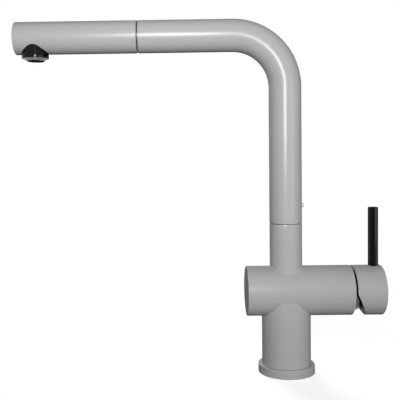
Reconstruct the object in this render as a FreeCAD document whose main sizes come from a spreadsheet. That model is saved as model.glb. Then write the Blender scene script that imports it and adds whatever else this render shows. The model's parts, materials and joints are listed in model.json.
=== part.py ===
import FreeCAD, Part
import math
import os
import re
import Sketcher

# Pull-out mixer tap with a side lever, in millimetres.
# The origin is the centre of the base's underside, +Z is up, the spout points to -X
# and the lever's barrel lies along X.

SIZES = {
    # base and column
    "base_radius": 25.5,
    "base_height": 7.8,
    "base_edge": 0.9,
    "seal_inner": 21.0,
    "seal_outer": 24.0,
    "seal_depth": 1.5,
    "spigot_radius": 19.4,
    "spigot_gap": 1.0,
    "column_radius": 22.0,
    "column_top": 66.6,
    "core_radius": 18.5,
    "core_bottom": 20.0,
    "core_top": 50.0,
    "core_flat": 1.0,
    # horizontal barrel
    "barrel_height": 74.3,
    "barrel_radius": 22.5,
    "barrel_left": 36.2,
    "barrel_right": 58.2,
    "barrel_edge": 0.5,
    "end_disc_radius": 21.0,
    "end_disc_depth": 3.4,
    "end_spigot_radius": 19.0,
    "end_spigot_depth": 9.0,
    "end_spigot_wall": 3.0,
    "end_seal_setback": 1.6,
    "end_cavity_depth": 24.0,
    "end_seal_height": 1.5,
    "end_seal_width": 1.8,
    # neck, swivel stem and its glide rings
    "tube_radius": 14.55,
    "tube_wall": 1.5,
    "neck_top": 135.5,
    "neck_edge": 0.3,
    "neck_blend": 1.5,
    "neck_bore": 11.0,
    "stem_seat": 104.0,
    "stem_top": 168.0,
    "stem_radius": 10.0,
    "washer_thickness": 0.4,
    "washer_inset": 0.3,
    "glide_thickness": 1.3,
    "glide_width": 5.0,
    "glide_rise": 4.0,
    "glide_drop": 12.0,
    "glide_groove": 1.0,
    # spout
    "spout_height": 305.5,
    "bend_radius": 47.0,
    "split_reach": 131.4,
    "socket_radius": 10.45,
    "socket_top": 171.0,
    "stop_height": 152.0,
    "stop_depth": 1.6,
    "stop_width": 3.2,
    "stop_start": -10.0,
    "stop_sweep": 200.0,
    "stop_screw_radius": 2.0,
    "stop_dog_radius": 1.4,
    "stop_dog_length": 2.0,
    "stop_screw_proud": 1.6,
    "key_radius": 1.1,
    "key_depth": 2.0,
    # docking collar and hose
    "collar_flange": 1.2,
    "collar_inset": 0.2,
    "collar_length": 22.0,
    "dock_bore": 8.9,
    "dock_lead": 1.5,
    "hose_radius": 6.0,
    "hose_wall": 1.8,
    "hose_passage": 7.2,
    # handset
    "reach": 224.5,
    "nozzle_to_end": 17.7,
    "shank_radius": 8.6,
    "shank_length": 18.0,
    "shank_lead": 1.0,
    "hose_socket_depth": 14.0,
    "connector_setback": 15.0,
    "connector_flange": 8.0,
    "connector_bore": 4.0,
    "face_seal_inner": 5.5,
    "face_seal_outer": 8.4,
    "face_seal_thickness": 2.0,
    "core_fit": 0.15,
    "water_bore": 5.0,
    "end_plug_depth": 3.0,
    "end_plug_inset": 0.4,
    # non-return valve
    "valve_radius": 7.4,
    "valve_length": 14.0,
    "valve_bore": 5.4,
    "valve_seat_bore": 3.6,
    "valve_wall": 2.0,
    "valve_hole_circle": 3.7,
    "valve_hole_radius": 1.2,
    "poppet_radius": 4.6,
    "poppet_thickness": 1.5,
    "poppet_stem_radius": 1.5,
    "poppet_stem_length": 10.5,
    # nozzle and aerator
    "nozzle_radius": 12.5,
    "nozzle_drop": 5.8,
    "nozzle_bevel": 1.6,
    "nozzle_height": 16.3,
    "nozzle_wall": 2.0,
    "nozzle_roof": 3.5,
    "nozzle_seal_height": 2.0,
    "nozzle_seal_inner": 7.5,
    "nozzle_seal_outer": 9.6,
    "aerator_inset": 0.8,
    "aerator_wall": 1.4,
    "screen_thickness": 1.4,
    "screen_hole": 0.9,
    "screen_ring_inner": 3.4,
    "screen_ring_outer": 6.6,
    # cartridge
    "cartridge_seat": 18.0,
    "cartridge_radius": 17.4,
    "cartridge_wall": 1.8,
    "cartridge_clearance": 0.2,
    "base_plate": 5.0,
    "port_seal_radius": 4.0,
    "port_seal_depth": 1.2,
    "port_radius": 2.5,
    "port_rise": 2.0,
    "port_drop": 9.0,
    "disc_thickness": 4.0,
    "moving_disc_radius": 9.8,
    "moving_disc_pocket": 6.0,
    "moving_disc_pocket_depth": 2.0,
    "slider_length": 11.0,
    "slider_radius": 10.0,
    "driver_flange": 3.0,
    "driver_flange_radius": 14.8,
    "driver_radius": 12.0,
    "driver_slot_width": 7.8,
    "driver_slot_length": 17.0,
    "head_radius": 14.2,
    "head_shoulder": 2.4,
    "head_top": 57.0,
    "nut_radius": 18.9,
    "nut_thickness": 7.0,
    "nut_notch": 5.0,
    "nut_notch_depth": 2.5,
    # trim ring around the lever's stem
    "ring_radius": 18.2,
    "ring_wall": 1.7,
    "ring_flange": 2.6,
    "dome_radius": 19.5,
    "dome_opening": 12.5,
    # lever stem, cap and rod
    "pivot_reach": 55.0,
    "pin_radius": 1.5,
    "pin_length": 22.0,
    "stem_square": 7.2,
    "stem_back": 5.5,
    "stem_front": 26.5,
    "tail_arm": 14.0,
    "tail_radius": 1.8,
    "tail_ball": 3.0,
    "tail_socket_depth": 6.0,
    "cap_gap": 1.8,
    "cap_length": 26.0,
    "cap_radius": 22.5,
    "cap_wall": 2.5,
    "cap_edge": 1.0,
    "cap_cavity": 14.0,
    "cap_cut_angle": 24.8,
    "rod_radius": 4.5,
    "rod_reach": 79.0,
    "rod_top": 149.6,
    "rod_edge": 0.8,
    "rod_seat_drop": 0.9,
    "rod_thread_radius": 2.5,
    "rod_thread_length": 10.5,
    "cap_screw_radius": 2.5,
    "cap_screw_length": 9.0,
    # water connections in the underside
    "inlet_circle": 12.6,
    "inlet_angle": 50.0,
    "inlet_radius": 4.45,
    "inlet_depth": 12.0,
    "channel_radius": 3.0,
    "stud_reach": 13.0,
    "stud_radius": 3.35,
    "stud_depth": 14.0,
    # fits
    "press_gap": 0.02,
    "running_gap": 0.05,
    "seat_gap": 0.1,
    "loose_gap": 0.3,
    "overshoot": 1.0,
}

# Places nearer than this count as one.
NEAR = 0.01

SPOUT_BOTTOM = "(neck_top + washer_thickness + running_gap)"
TUBE_BORE = "(tube_radius - tube_wall)"
HANDSET_BACK = "(-split_reach - collar_flange - seat_gap)"
HANDSET_END = "(-reach - nozzle_to_end)"
FLANGE_BACK = "(-split_reach - connector_setback)"
FLANGE_FRONT = "(-split_reach - connector_setback - connector_flange)"
CORE_BACK = "(-split_reach - connector_setback - connector_flange - face_seal_thickness)"
CORE_RADIUS = "(tube_radius - tube_wall - core_fit)"
NOZZLE_BOTTOM = "(spout_height - tube_radius - nozzle_drop)"
NOZZLE_TOP = "(spout_height - tube_radius - nozzle_drop + nozzle_height)"
NOZZLE_BORE = "(nozzle_radius - nozzle_wall)"
DISC_SEAT = "(cartridge_seat + base_plate)"
SLIDE_FACE = "(cartridge_seat + base_plate + disc_thickness + running_gap)"
SLIDER_BACK = "(cartridge_seat + base_plate + 2 * disc_thickness + running_gap)"
SLIDER_FRONT = "(cartridge_seat + base_plate + 2 * disc_thickness + running_gap + slider_length)"
DRIVER_BACK = "(" + SLIDER_FRONT + " + loose_gap)"
SHOULDER = "(" + DRIVER_BACK + " + driver_flange + loose_gap)"
NUT_BACK = "(" + SHOULDER + " + head_shoulder)"
CARTRIDGE_BORE = "(cartridge_radius - cartridge_wall)"
CAP_BACK = "(barrel_right + cap_gap)"
CAP_FRONT = "(barrel_right + cap_gap + cap_length)"
CAP_FLOOR = "(barrel_right + cap_gap + cap_cavity)"
ROD_SEAT = "(barrel_height + cap_radius - rod_seat_drop)"
INLET_X = "(inlet_circle * cos(inlet_angle))"
INLET_Y = "(inlet_circle * sin(inlet_angle))"

ABOUT = {
    "Z": FreeCAD.Rotation(),
    "X": FreeCAD.Rotation(FreeCAD.Vector(0, 1, 0), 90),
    "-X": FreeCAD.Rotation(FreeCAD.Vector(0, 1, 0), -90),
    "Y": FreeCAD.Rotation(FreeCAD.Vector(1, 0, 0), -90),
}

doc = FreeCAD.newDocument("PullOutMixerTap")
sheet = doc.addObject("Spreadsheet::Sheet", "Sizes")
for row, (alias, size) in enumerate(SIZES.items(), start=1):
    sheet.set("A%d" % row, alias)
    sheet.set("B%d" % row, str(size))
    sheet.setAlias("B%d" % row, alias)
doc.recompute()

nodes = []


def formula(text):
    """The text as an expression on the sheet."""
    def on_sheet(match):
        word = match.group(0)
        return "Sizes." + word if word in SIZES else word
    return re.sub(r"[a-z][a-z_]*[a-z]", on_sheet, str(text))


def number(text):
    """The value that a formula has now."""
    return float(sheet.evalExpression(formula(text)))


def bind(thing, name, text):
    thing.setExpression(name, formula(text))


def place(thing, at, about="Z"):
    """Stand a piece at a point given by three formulas, turned about its own axis' direction."""
    thing.Placement = FreeCAD.Placement(FreeCAD.Vector(), ABOUT[about])
    for axis, text in zip("xyz", at):
        bind(thing, "Placement.Base." + axis, text)


def node(thing, label):
    """Name a finished sub-part."""
    thing.Label = label
    nodes.append(thing)
    return thing


def rod(name, radius, length, at=("0", "0", "0"), about="Z"):
    """A plain round solid, for a shaft or for the hole that it leaves."""
    solid = doc.addObject("Part::Cylinder", name)
    bind(solid, "Radius", radius)
    bind(solid, "Height", length)
    place(solid, at, about)
    return solid


def block(name, lengths, at):
    """A plain box from its low corner."""
    solid = doc.addObject("Part::Box", name)
    for side, text in zip(("Length", "Width", "Height"), lengths):
        bind(solid, side, text)
    place(solid, at)
    return solid


def ball(name, radius, at):
    solid = doc.addObject("Part::Sphere", name)
    bind(solid, "Radius", radius)
    place(solid, at)
    return solid


def cut(name, solid, tools):
    """The solid without the tools."""
    result = doc.addObject("Part::Cut", name)
    result.Base = solid
    result.Tool = tools[0] if len(tools) == 1 else joined(name + "_tools", tools)
    return result


def joined(name, solids):
    result = doc.addObject("Part::MultiFuse", name)
    result.Shapes = solids
    return result


def shared(name, first, second):
    """The volume that both solids hold."""
    result = doc.addObject("Part::Common", name)
    result.Base = first
    result.Tool = second
    return result


def new_body(name, height="0"):
    body = doc.addObject("PartDesign::Body", name)
    bind(body, "Placement.Base.z", height)
    return body


def new_sketch(body, name, role="XZ_Plane", lift="0"):
    """A sketch on one of the body's own planes, shifted up its second direction or off the plane."""
    sketch = body.newObject("Sketcher::SketchObject", name)
    plane = [item for item in body.Origin.OriginFeatures if item.Role == role][0]
    sketch.AttachmentSupport = [(plane, "")]
    sketch.MapMode = "FlatFace"
    direction = "z" if role == "XY_Plane" else "y"
    bind(sketch, "AttachmentOffset.Base." + direction, lift)
    return sketch


def hold_point(sketch, line, end, x, y):
    """Tie one end of a line to its place on the sheet."""
    for kind, text in (("DistanceX", x), ("DistanceY", y)):
        index = sketch.addConstraint(Sketcher.Constraint(kind, -1, 1, line, end, number(text)))
        bind(sketch, "Constraints[%d]" % index, text)


def outline(sketch, points):
    """A closed outline of straight lines through points given by formulas."""
    places = [FreeCAD.Vector(number(x), number(y), 0) for x, y in points]
    count = len(points)
    for index in range(count):
        sketch.addGeometry(Part.LineSegment(places[index], places[(index + 1) % count]))
    for index in range(count):
        sketch.addConstraint(Sketcher.Constraint("Coincident", index, 2, (index + 1) % count, 1))
    for index, (x, y) in enumerate(points):
        hold_point(sketch, index, 1, x, y)


def revolve(body, name, points, about="Z", lift="0", kind="PartDesign::Revolution"):
    """Turn an outline in the XZ plane once round the upright axis or the axis along X."""
    sketch = new_sketch(body, name + "_outline", lift=lift)
    outline(sketch, points)
    feature = body.newObject(kind, name)
    feature.Profile = sketch
    feature.ReferenceAxis = (sketch, ["V_Axis" if about == "Z" else "H_Axis"])
    feature.Angle = 360
    doc.recompute()
    return feature


def groove(body, name, points, about="Z", lift="0"):
    """Turn an outline away from the solid, which must lose material."""
    before = body.Shape.Volume
    feature = revolve(body, name, points, about, lift, "PartDesign::Groove")
    if body.Shape.Volume >= before:
        raise RuntimeError(name + " removes nothing")
    return feature


def soften(body, name, size, edges, kind="PartDesign::Fillet"):
    """Round or bevel chosen edges of the body's last feature."""
    last = body.Tip
    feature = body.newObject(kind, name)
    feature.Base = (last, ["Edge%d" % index for index in edges])
    bind(feature, "Radius" if kind.endswith("Fillet") else "Size", size)
    doc.recompute()
    return feature


def round_edges(shape, radius, along, place_on_axis):
    """Numbers of the full circles of one radius that stand at one place along an axis."""
    found = []
    for index, edge in enumerate(shape.Edges, start=1):
        if not isinstance(edge.Curve, Part.Circle):
            continue
        centre = edge.Curve.Center
        position = {"X": centre.x, "Z": centre.z}[along]
        if abs(edge.Curve.Radius - radius) < NEAR and abs(position - place_on_axis) < NEAR:
            found.append(index)
    return found


def turned(name, points, about="Z", height="0"):
    """A sub-part made as one turned profile."""
    body = new_body(name, height)
    revolve(body, name + "_profile", points, about)
    return body


def ring(inner, outer, low, high):
    """Outline of a plain ring: radii across, heights up."""
    return [(inner, low), (outer, low), (outer, high), (inner, high)]


def sleeve(inner, outer, back, front):
    """Outline of a plain ring that lies along X."""
    return [(back, inner), (back, outer), (front, outer), (front, inner)]


def bent_pipe(name, radius, bore, bottom, tip):
    """A tube that rises on the column's axis, bends to -X and runs level to its tip."""
    body = new_body(name)
    section = new_sketch(body, name + "_section", "XY_Plane", bottom)
    for index, text in enumerate((radius, bore)):
        circle = Part.Circle(FreeCAD.Vector(), FreeCAD.Vector(0, 0, 1), number(text))
        section.addGeometry(circle)
        section.addConstraint(Sketcher.Constraint("Coincident", index, 3, -1, 1))
        size = section.addConstraint(Sketcher.Constraint("Radius", index, number(text)))
        bind(section, "Constraints[%d]" % size, text)
    path = new_sketch(body, name + "_path")
    foot = FreeCAD.Vector(0, number(bottom), 0)
    bend_start = FreeCAD.Vector(0, number("spout_height - bend_radius"), 0)
    bend_end = FreeCAD.Vector(number("-bend_radius"), number("spout_height"), 0)
    end = FreeCAD.Vector(number(tip), bend_end.y, 0)
    centre = FreeCAD.Vector(bend_end.x, bend_start.y, 0)
    path.addGeometry(Part.LineSegment(foot, bend_start))
    quarter = Part.Circle(centre, FreeCAD.Vector(0, 0, 1), number("bend_radius"))
    path.addGeometry(Part.ArcOfCircle(quarter, 0.0, math.pi / 2))
    path.addGeometry(Part.LineSegment(bend_end, end))
    path.addConstraint(Sketcher.Constraint("Tangent", 0, 2, 1, 1))
    path.addConstraint(Sketcher.Constraint("Tangent", 1, 2, 2, 1))
    hold_point(path, 0, 1, "0", bottom)
    path.addConstraint(Sketcher.Constraint("Vertical", 0))
    hold_point(path, 2, 2, tip, "spout_height")
    path.addConstraint(Sketcher.Constraint("Horizontal", 2))
    size = path.addConstraint(Sketcher.Constraint("Radius", 1, number("bend_radius")))
    bind(path, "Constraints[%d]" % size, "bend_radius")
    pipe = body.newObject("PartDesign::AdditivePipe", name + "_pipe")
    pipe.Profile = section
    pipe.Spine = (path, ["Edge1", "Edge2", "Edge3"])
    doc.recompute()
    return body


def port_places(face):
    """The three water ports on the cartridge seat: hot, cold and mixed."""
    upper = "barrel_height + port_rise"
    return [
        (face, INLET_Y, upper),
        (face, "-" + INLET_Y, upper),
        (face, "0", "barrel_height - port_drop"),
    ]


def channel_places(height):
    """The three water connections in the underside: hot, cold and mixed."""
    return [(INLET_X, INLET_Y, height), (INLET_X, "-" + INLET_Y, height), ("inlet_circle", "0", height)]


def make_base_ring():
    body = new_body("base_ring")
    inner = "spigot_radius + seat_gap"
    revolve(body, "base_ring_profile", [
        (inner, "0"),
        ("seal_inner", "0"),
        ("seal_inner", "seal_depth"),
        ("seal_outer", "seal_depth"),
        ("seal_outer", "0"),
        ("base_radius", "0"),
        ("base_radius", "base_height"),
        (inner, "base_height"),
    ])
    rim = round_edges(body.Shape, number("base_radius"), "Z", number("base_height"))
    soften(body, "base_ring_rim", "base_edge", rim, "PartDesign::Chamfer")
    node(body, "base_ring")


def make_deck_seal():
    profile = ring("seal_inner + seat_gap", "seal_outer - seat_gap", "0", "seal_depth")
    node(turned("deck_seal", profile), "deck_seal")


def make_body_casting():
    """Column, cross barrel and neck in one casting, cored for the hose and drilled for the water."""
    body = new_body("body_blank")
    revolve(body, "column", [
        ("0", "spigot_gap"),
        ("spigot_radius", "spigot_gap"),
        ("spigot_radius", "base_height"),
        ("column_radius", "base_height"),
        ("column_radius", "column_top"),
        ("tube_radius", "column_top"),
        ("tube_radius", "neck_top"),
        ("0", "neck_top"),
    ])
    neck = round_edges(body.Shape, number("tube_radius"), "Z", number("neck_top"))
    soften(body, "neck_bevel", "neck_edge", neck, "PartDesign::Chamfer")
    barrel = sleeve("0", "barrel_radius", "-barrel_left", "barrel_right")
    revolve(body, "barrel", barrel, "X", "barrel_height")
    ends = []
    for side in ("-barrel_left", "barrel_right"):
        ends += round_edges(body.Shape, number("barrel_radius"), "X", number(side))
    soften(body, "barrel_rims", "barrel_edge", ends, "PartDesign::Chamfer")
    soften(body, "neck_foot", "neck_blend", neck_foot_edges(body.Shape))
    groove(body, "neck_bore_cut", [
        ("0", "stem_seat"),
        ("neck_bore", "stem_seat"),
        ("neck_bore", "neck_top + overshoot"),
        ("0", "neck_top + overshoot"),
    ])
    groove(body, "hose_way", [
        ("0", "0"),
        ("hose_passage", "0"),
        ("hose_passage", "stem_seat + overshoot"),
        ("0", "stem_seat + overshoot"),
    ])
    groove(body, "cartridge_cavity", [
        ("cartridge_seat", "0"),
        ("cartridge_seat", "cartridge_radius + cartridge_clearance"),
        (NUT_BACK, "cartridge_radius + cartridge_clearance"),
        (NUT_BACK, "nut_radius + seat_gap"),
        ("barrel_right + overshoot", "nut_radius + seat_gap"),
        ("barrel_right + overshoot", "0"),
    ], "X", "barrel_height")
    groove(body, "end_cavity", [
        ("-barrel_left - overshoot", "0"),
        ("-barrel_left - overshoot", "end_disc_radius"),
        ("-barrel_left + end_disc_depth", "end_disc_radius"),
        ("-barrel_left + end_disc_depth", "end_spigot_radius"),
        ("-barrel_left + end_cavity_depth", "end_spigot_radius"),
        ("-barrel_left + end_cavity_depth", "0"),
    ], "X", "barrel_height")
    core_height = "core_top - core_bottom"
    core_round = rod("core_round", "core_radius", core_height, ("0", "0", "core_bottom"))
    core_side = block(
        "core_side",
        ("core_radius + core_flat", "2 * core_radius + 2 * overshoot", core_height + " + 2 * overshoot"),
        ("-core_radius", "-core_radius - overshoot", "core_bottom - overshoot"),
    )
    core = shared("column_core", core_round, core_side)
    tools = [core, rod("stud_hole", "stud_radius", "stud_depth", ("-stud_reach", "0", "spigot_gap"))]
    tops = ("barrel_height + port_rise", "barrel_height + port_rise", "barrel_height - port_drop")
    for index, (mouth, top) in enumerate(zip(channel_places("spigot_gap"), tops)):
        tools.append(rod("inlet_%d" % index, "inlet_radius", "inlet_depth", mouth))
        tools.append(rod("channel_%d" % index, "channel_radius", top + " - spigot_gap", mouth))
    for index, mouth in enumerate(port_places("cartridge_seat")):
        length = "cartridge_seat - " + (INLET_X if index < 2 else "inlet_circle")
        tools.append(rod("port_%d" % index, "port_radius", length, mouth, "-X"))
    node(cut("body_drilled", body, tools), "body_casting")


def neck_foot_edges(shape):
    """The saddle curve where the neck rises from the barrel."""
    radius = number("tube_radius")
    axis = number("barrel_height")
    crown = number("barrel_height + barrel_radius + overshoot")
    rise = number("barrel_radius - sqrt(barrel_radius * barrel_radius - tube_radius * tube_radius)")
    found = []
    for index, edge in enumerate(shape.Edges, start=1):
        box = edge.BoundBox
        above = box.ZMin > axis and box.ZMax < crown
        curved = box.ZLength > rise / 2
        wide = abs(box.XLength - 2 * radius) < NEAR
        deep = min(abs(box.YLength - radius), abs(box.YLength - 2 * radius)) < NEAR
        if above and curved and (wide or deep):
            found.append(index)
    return found


def make_end_cap():
    """The plug in the barrel's free end, with its sealing ring."""
    groove_back = "-barrel_left + end_disc_depth + end_seal_setback"
    groove_front = groove_back + " + end_seal_width + 2 * seat_gap"
    groove_floor = "end_spigot_radius - end_seal_height - seat_gap"
    spigot = "end_spigot_radius - seat_gap"
    body = new_body("barrel_end_cap", "barrel_height")
    revolve(body, "end_cap_profile", [
        ("-barrel_left", "0"),
        ("-barrel_left", "end_disc_radius - seat_gap"),
        ("-barrel_left + end_disc_depth", "end_disc_radius - seat_gap"),
        ("-barrel_left + end_disc_depth", spigot),
        (groove_back, spigot),
        (groove_back, groove_floor),
        (groove_front, groove_floor),
        (groove_front, spigot),
        ("-barrel_left + end_spigot_depth", spigot),
        ("-barrel_left + end_spigot_depth", spigot + " - end_spigot_wall"),
        ("-barrel_left + end_disc_depth", spigot + " - end_spigot_wall"),
        ("-barrel_left + end_disc_depth", "0"),
    ], "X")
    node(body, "barrel_end_cap")
    seal = sleeve(groove_floor + " + running_gap", "end_spigot_radius - running_gap",
                  groove_back + " + seat_gap", groove_front + " - seat_gap")
    node(turned("end_cap_seal", seal, "X", "barrel_height"), "end_cap_seal")


def glide_height(which):
    if which == "lower":
        return SPOUT_BOTTOM + " + glide_rise"
    return "stem_top - glide_drop"


def make_swivel_stem():
    """The tube that the spout turns on, with a stop groove for the spout's screw."""
    glide_floor = "stem_radius - glide_groove"
    low = glide_height("lower")
    high = glide_height("upper")
    body = new_body("stem_blank")
    revolve(body, "stem_profile", [
        ("hose_passage", "stem_seat"),
        ("neck_bore - press_gap", "stem_seat"),
        ("neck_bore - press_gap", "neck_top"),
        ("stem_radius", "neck_top"),
        ("stem_radius", low),
        (glide_floor, low),
        (glide_floor, low + " + glide_width"),
        ("stem_radius", low + " + glide_width"),
        ("stem_radius", high),
        (glide_floor, high),
        (glide_floor, high + " + glide_width"),
        ("stem_radius", high + " + glide_width"),
        ("stem_radius", "stem_top"),
        ("hose_passage", "stem_top"),
    ])
    base = ("0", "0", "stop_height - stop_width / 2")
    sector = rod("stop_sector", "stem_radius + overshoot", "stop_width", base)
    bind(sector, "Angle", "stop_sweep")
    sector.Placement.Rotation = FreeCAD.Rotation(FreeCAD.Vector(0, 0, 1), number("stop_start"))
    bind(sector, "Placement.Rotation.Angle", "stop_start")
    floor = rod("stop_floor", "stem_radius - stop_depth", "stop_width", base)
    stop_groove = cut("stop_groove", sector, [floor])
    node(cut("stem_grooved", body, [stop_groove]), "swivel_stem")


def make_glide_rings():
    """Two plastic rings that the spout's socket turns on."""
    for which in ("lower", "upper"):
        low = glide_height(which)
        outer = "socket_radius - running_gap"
        profile = ring("socket_radius - running_gap - glide_thickness", outer,
                       low + " + seat_gap", low + " + glide_width - seat_gap")
        name = which + "_glide_ring"
        node(turned(name, profile), name)


def make_joint_washer():
    """The thin washer that shows as a dark line between neck and spout."""
    profile = ring("stem_radius + seat_gap", "tube_radius - washer_inset", "neck_top",
                   "neck_top + washer_thickness")
    node(turned("joint_washer", profile), "joint_washer")


def make_spout():
    tube = bent_pipe("spout_pipe", "tube_radius", TUBE_BORE, SPOUT_BOTTOM, "-split_reach")
    screw_way = ("stem_radius", "0", "stop_height")
    wall_hole = rod("wall_hole", "stop_screw_radius + seat_gap", "tube_radius", screw_way, "X")
    node(cut("spout_drilled", tube, [wall_hole]), "spout_tube")
    socket_outline = ring("socket_radius", TUBE_BORE + " - press_gap", SPOUT_BOTTOM, "socket_top")
    socket = turned("socket_blank", socket_outline)
    thread = rod("socket_thread", "stop_screw_radius + press_gap", "tube_radius", screw_way, "X")
    node(cut("socket_drilled", socket, [thread]), "spout_socket")


def make_stop_screw():
    """The grub screw whose dog point runs in the stop groove."""
    tip = "stem_radius - stop_depth + loose_gap"
    head = "tube_radius + stop_screw_proud"
    profile = [
        (tip, "0"),
        (tip, "stop_dog_radius"),
        (tip + " + stop_dog_length", "stop_dog_radius"),
        (tip + " + stop_dog_length", "stop_screw_radius"),
        (head, "stop_screw_radius"),
        (head, "key_radius"),
        (head + " - key_depth", "key_radius"),
        (head + " - key_depth", "0"),
    ]
    node(turned("spout_grub_screw", profile, "X", "stop_height"), "spout_grub_screw")


def make_docking_collar():
    """The black collar in the spout's end that the handset's shank slides into."""
    front = "-split_reach - collar_flange"
    inside = "-split_reach + collar_length"
    profile = [
        (front, "dock_bore + dock_lead"),
        (front, "tube_radius - collar_inset"),
        ("-split_reach", "tube_radius - collar_inset"),
        ("-split_reach", TUBE_BORE + " - press_gap"),
        (inside, TUBE_BORE + " - press_gap"),
        (inside, "dock_bore"),
        (front + " + dock_lead", "dock_bore"),
    ]
    node(turned("docking_collar", profile, "X", "spout_height"), "docking_collar")


def make_hose():
    """The hose inside column and spout, from the underside to its seat in the handset's shank."""
    tip = "-split_reach + shank_length - hose_socket_depth + seat_gap"
    hose = bent_pipe("hose_pipe", "hose_radius", "hose_radius - hose_wall", "spigot_gap", tip)
    node(hose, "pullout_hose")


def make_hose_connector():
    shank_end = "-split_reach + shank_length"
    socket_floor = "-split_reach + shank_length - hose_socket_depth"
    profile = [
        (FLANGE_FRONT, "connector_bore"),
        (FLANGE_FRONT, CORE_RADIUS),
        (FLANGE_BACK, CORE_RADIUS),
        (FLANGE_BACK, "shank_radius"),
        (shank_end + " - shank_lead", "shank_radius"),
        (shank_end, "shank_radius - shank_lead"),
        (shank_end, "hose_radius + seat_gap"),
        (socket_floor, "hose_radius + seat_gap"),
        (socket_floor, "connector_bore"),
    ]
    node(turned("hose_connector", profile, "X", "spout_height"), "hose_connector")
    seal = sleeve("face_seal_inner", "face_seal_outer", CORE_BACK, FLANGE_FRONT)
    node(turned("connector_seal", seal, "X", "spout_height"), "connector_seal")


def make_handset_shell():
    profile = sleeve(TUBE_BORE, "tube_radius", HANDSET_END, HANDSET_BACK)
    shell = turned("shell_blank", profile, "X", "spout_height")
    hole = rod("nozzle_hole", "nozzle_radius + seat_gap", "tube_radius + overshoot",
               ("-reach", "0", "spout_height - tube_radius - overshoot"))
    node(cut("shell_cut", shell, [hole]), "handset_shell")


def make_handset_core():
    """The plastic water way in the handset: valve seat, long bore and the outlet's recess."""
    end = HANDSET_END + " + end_plug_inset + end_plug_depth"
    valve_front = CORE_BACK + " - valve_length"
    body = turned("core_blank", [
        (end, "0"),
        (end, CORE_RADIUS),
        (CORE_BACK, CORE_RADIUS),
        (CORE_BACK, "valve_radius + seat_gap"),
        (valve_front, "valve_radius + seat_gap"),
        (valve_front, "water_bore"),
        ("-reach", "water_bore"),
        ("-reach", "0"),
    ], "X", "spout_height")
    roof = NOZZLE_TOP + " + nozzle_seal_height"
    recess = rod("outlet_recess", "nozzle_radius + seat_gap", "nozzle_height + nozzle_seal_height",
                 ("-reach", "0", NOZZLE_BOTTOM))
    drop = rod("outlet_drop", "water_bore", "spout_height - " + roof + " + overshoot",
               ("-reach", "0", roof + " - overshoot"))
    node(cut("core_cut", body, [recess, drop]), "handset_core")


def make_handset_end():
    plug = [
        (HANDSET_END + " + end_plug_inset", "0"),
        (HANDSET_END + " + end_plug_inset", TUBE_BORE + " - press_gap"),
        (HANDSET_END + " + end_plug_inset + end_plug_depth", TUBE_BORE + " - press_gap"),
        (HANDSET_END + " + end_plug_inset + end_plug_depth", "0"),
    ]
    node(turned("handset_end_cap", plug, "X", "spout_height"), "handset_end_cap")


def make_valve():
    """The non-return valve: a ported sleeve and a poppet that lifts off its seat towards the outlet."""
    back = CORE_BACK
    front = CORE_BACK + " - valve_length"
    body = turned("valve_blank", [
        (back, "valve_seat_bore"),
        (back, "valve_radius"),
        (front, "valve_radius"),
        (front, "poppet_stem_radius + running_gap"),
        (front + " + valve_wall", "poppet_stem_radius + running_gap"),
        (front + " + valve_wall", "valve_bore"),
        (back + " - valve_wall", "valve_bore"),
        (back + " - valve_wall", "valve_seat_bore"),
    ], "X", "spout_height")
    vents = []
    for index, angle in enumerate((0, 90, 180, 270)):
        across = "valve_hole_circle * cos(%d)" % angle
        up = "spout_height + valve_hole_circle * sin(%d)" % angle
        mouth = (front + " - overshoot", across, up)
        name = "valve_vent_%d" % index
        vents.append(rod(name, "valve_hole_radius", "valve_wall + 2 * overshoot", mouth, "X"))
    node(cut("valve_ported", body, vents), "valve_housing")
    face = CORE_BACK + " - valve_wall - running_gap"
    poppet = [
        (face, "0"),
        (face, "poppet_radius"),
        (face + " - poppet_thickness", "poppet_radius"),
        (face + " - poppet_thickness", "poppet_stem_radius"),
        (face + " - poppet_thickness - poppet_stem_length", "poppet_stem_radius"),
        (face + " - poppet_thickness - poppet_stem_length", "0"),
    ]
    node(turned("valve_poppet", poppet, "X", "spout_height"), "valve_poppet")


def make_nozzle():
    """The outlet's cup under the handset, open below, with the aerator inside it."""
    body = turned("outlet_nozzle", [
        (NOZZLE_BORE, NOZZLE_BOTTOM),
        ("nozzle_radius - nozzle_bevel", NOZZLE_BOTTOM),
        ("nozzle_radius", NOZZLE_BOTTOM + " + nozzle_bevel"),
        ("nozzle_radius", NOZZLE_TOP),
        ("water_bore", NOZZLE_TOP),
        ("water_bore", NOZZLE_TOP + " - nozzle_roof"),
        (NOZZLE_BORE, NOZZLE_TOP + " - nozzle_roof"),
    ])
    bind(body, "Placement.Base.x", "-reach")
    node(body, "outlet_nozzle")
    seal = turned("nozzle_seal", ring("nozzle_seal_inner", "nozzle_seal_outer",
                                      NOZZLE_TOP, NOZZLE_TOP + " + nozzle_seal_height"))
    bind(seal, "Placement.Base.x", "-reach")
    node(seal, "nozzle_seal")


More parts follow.
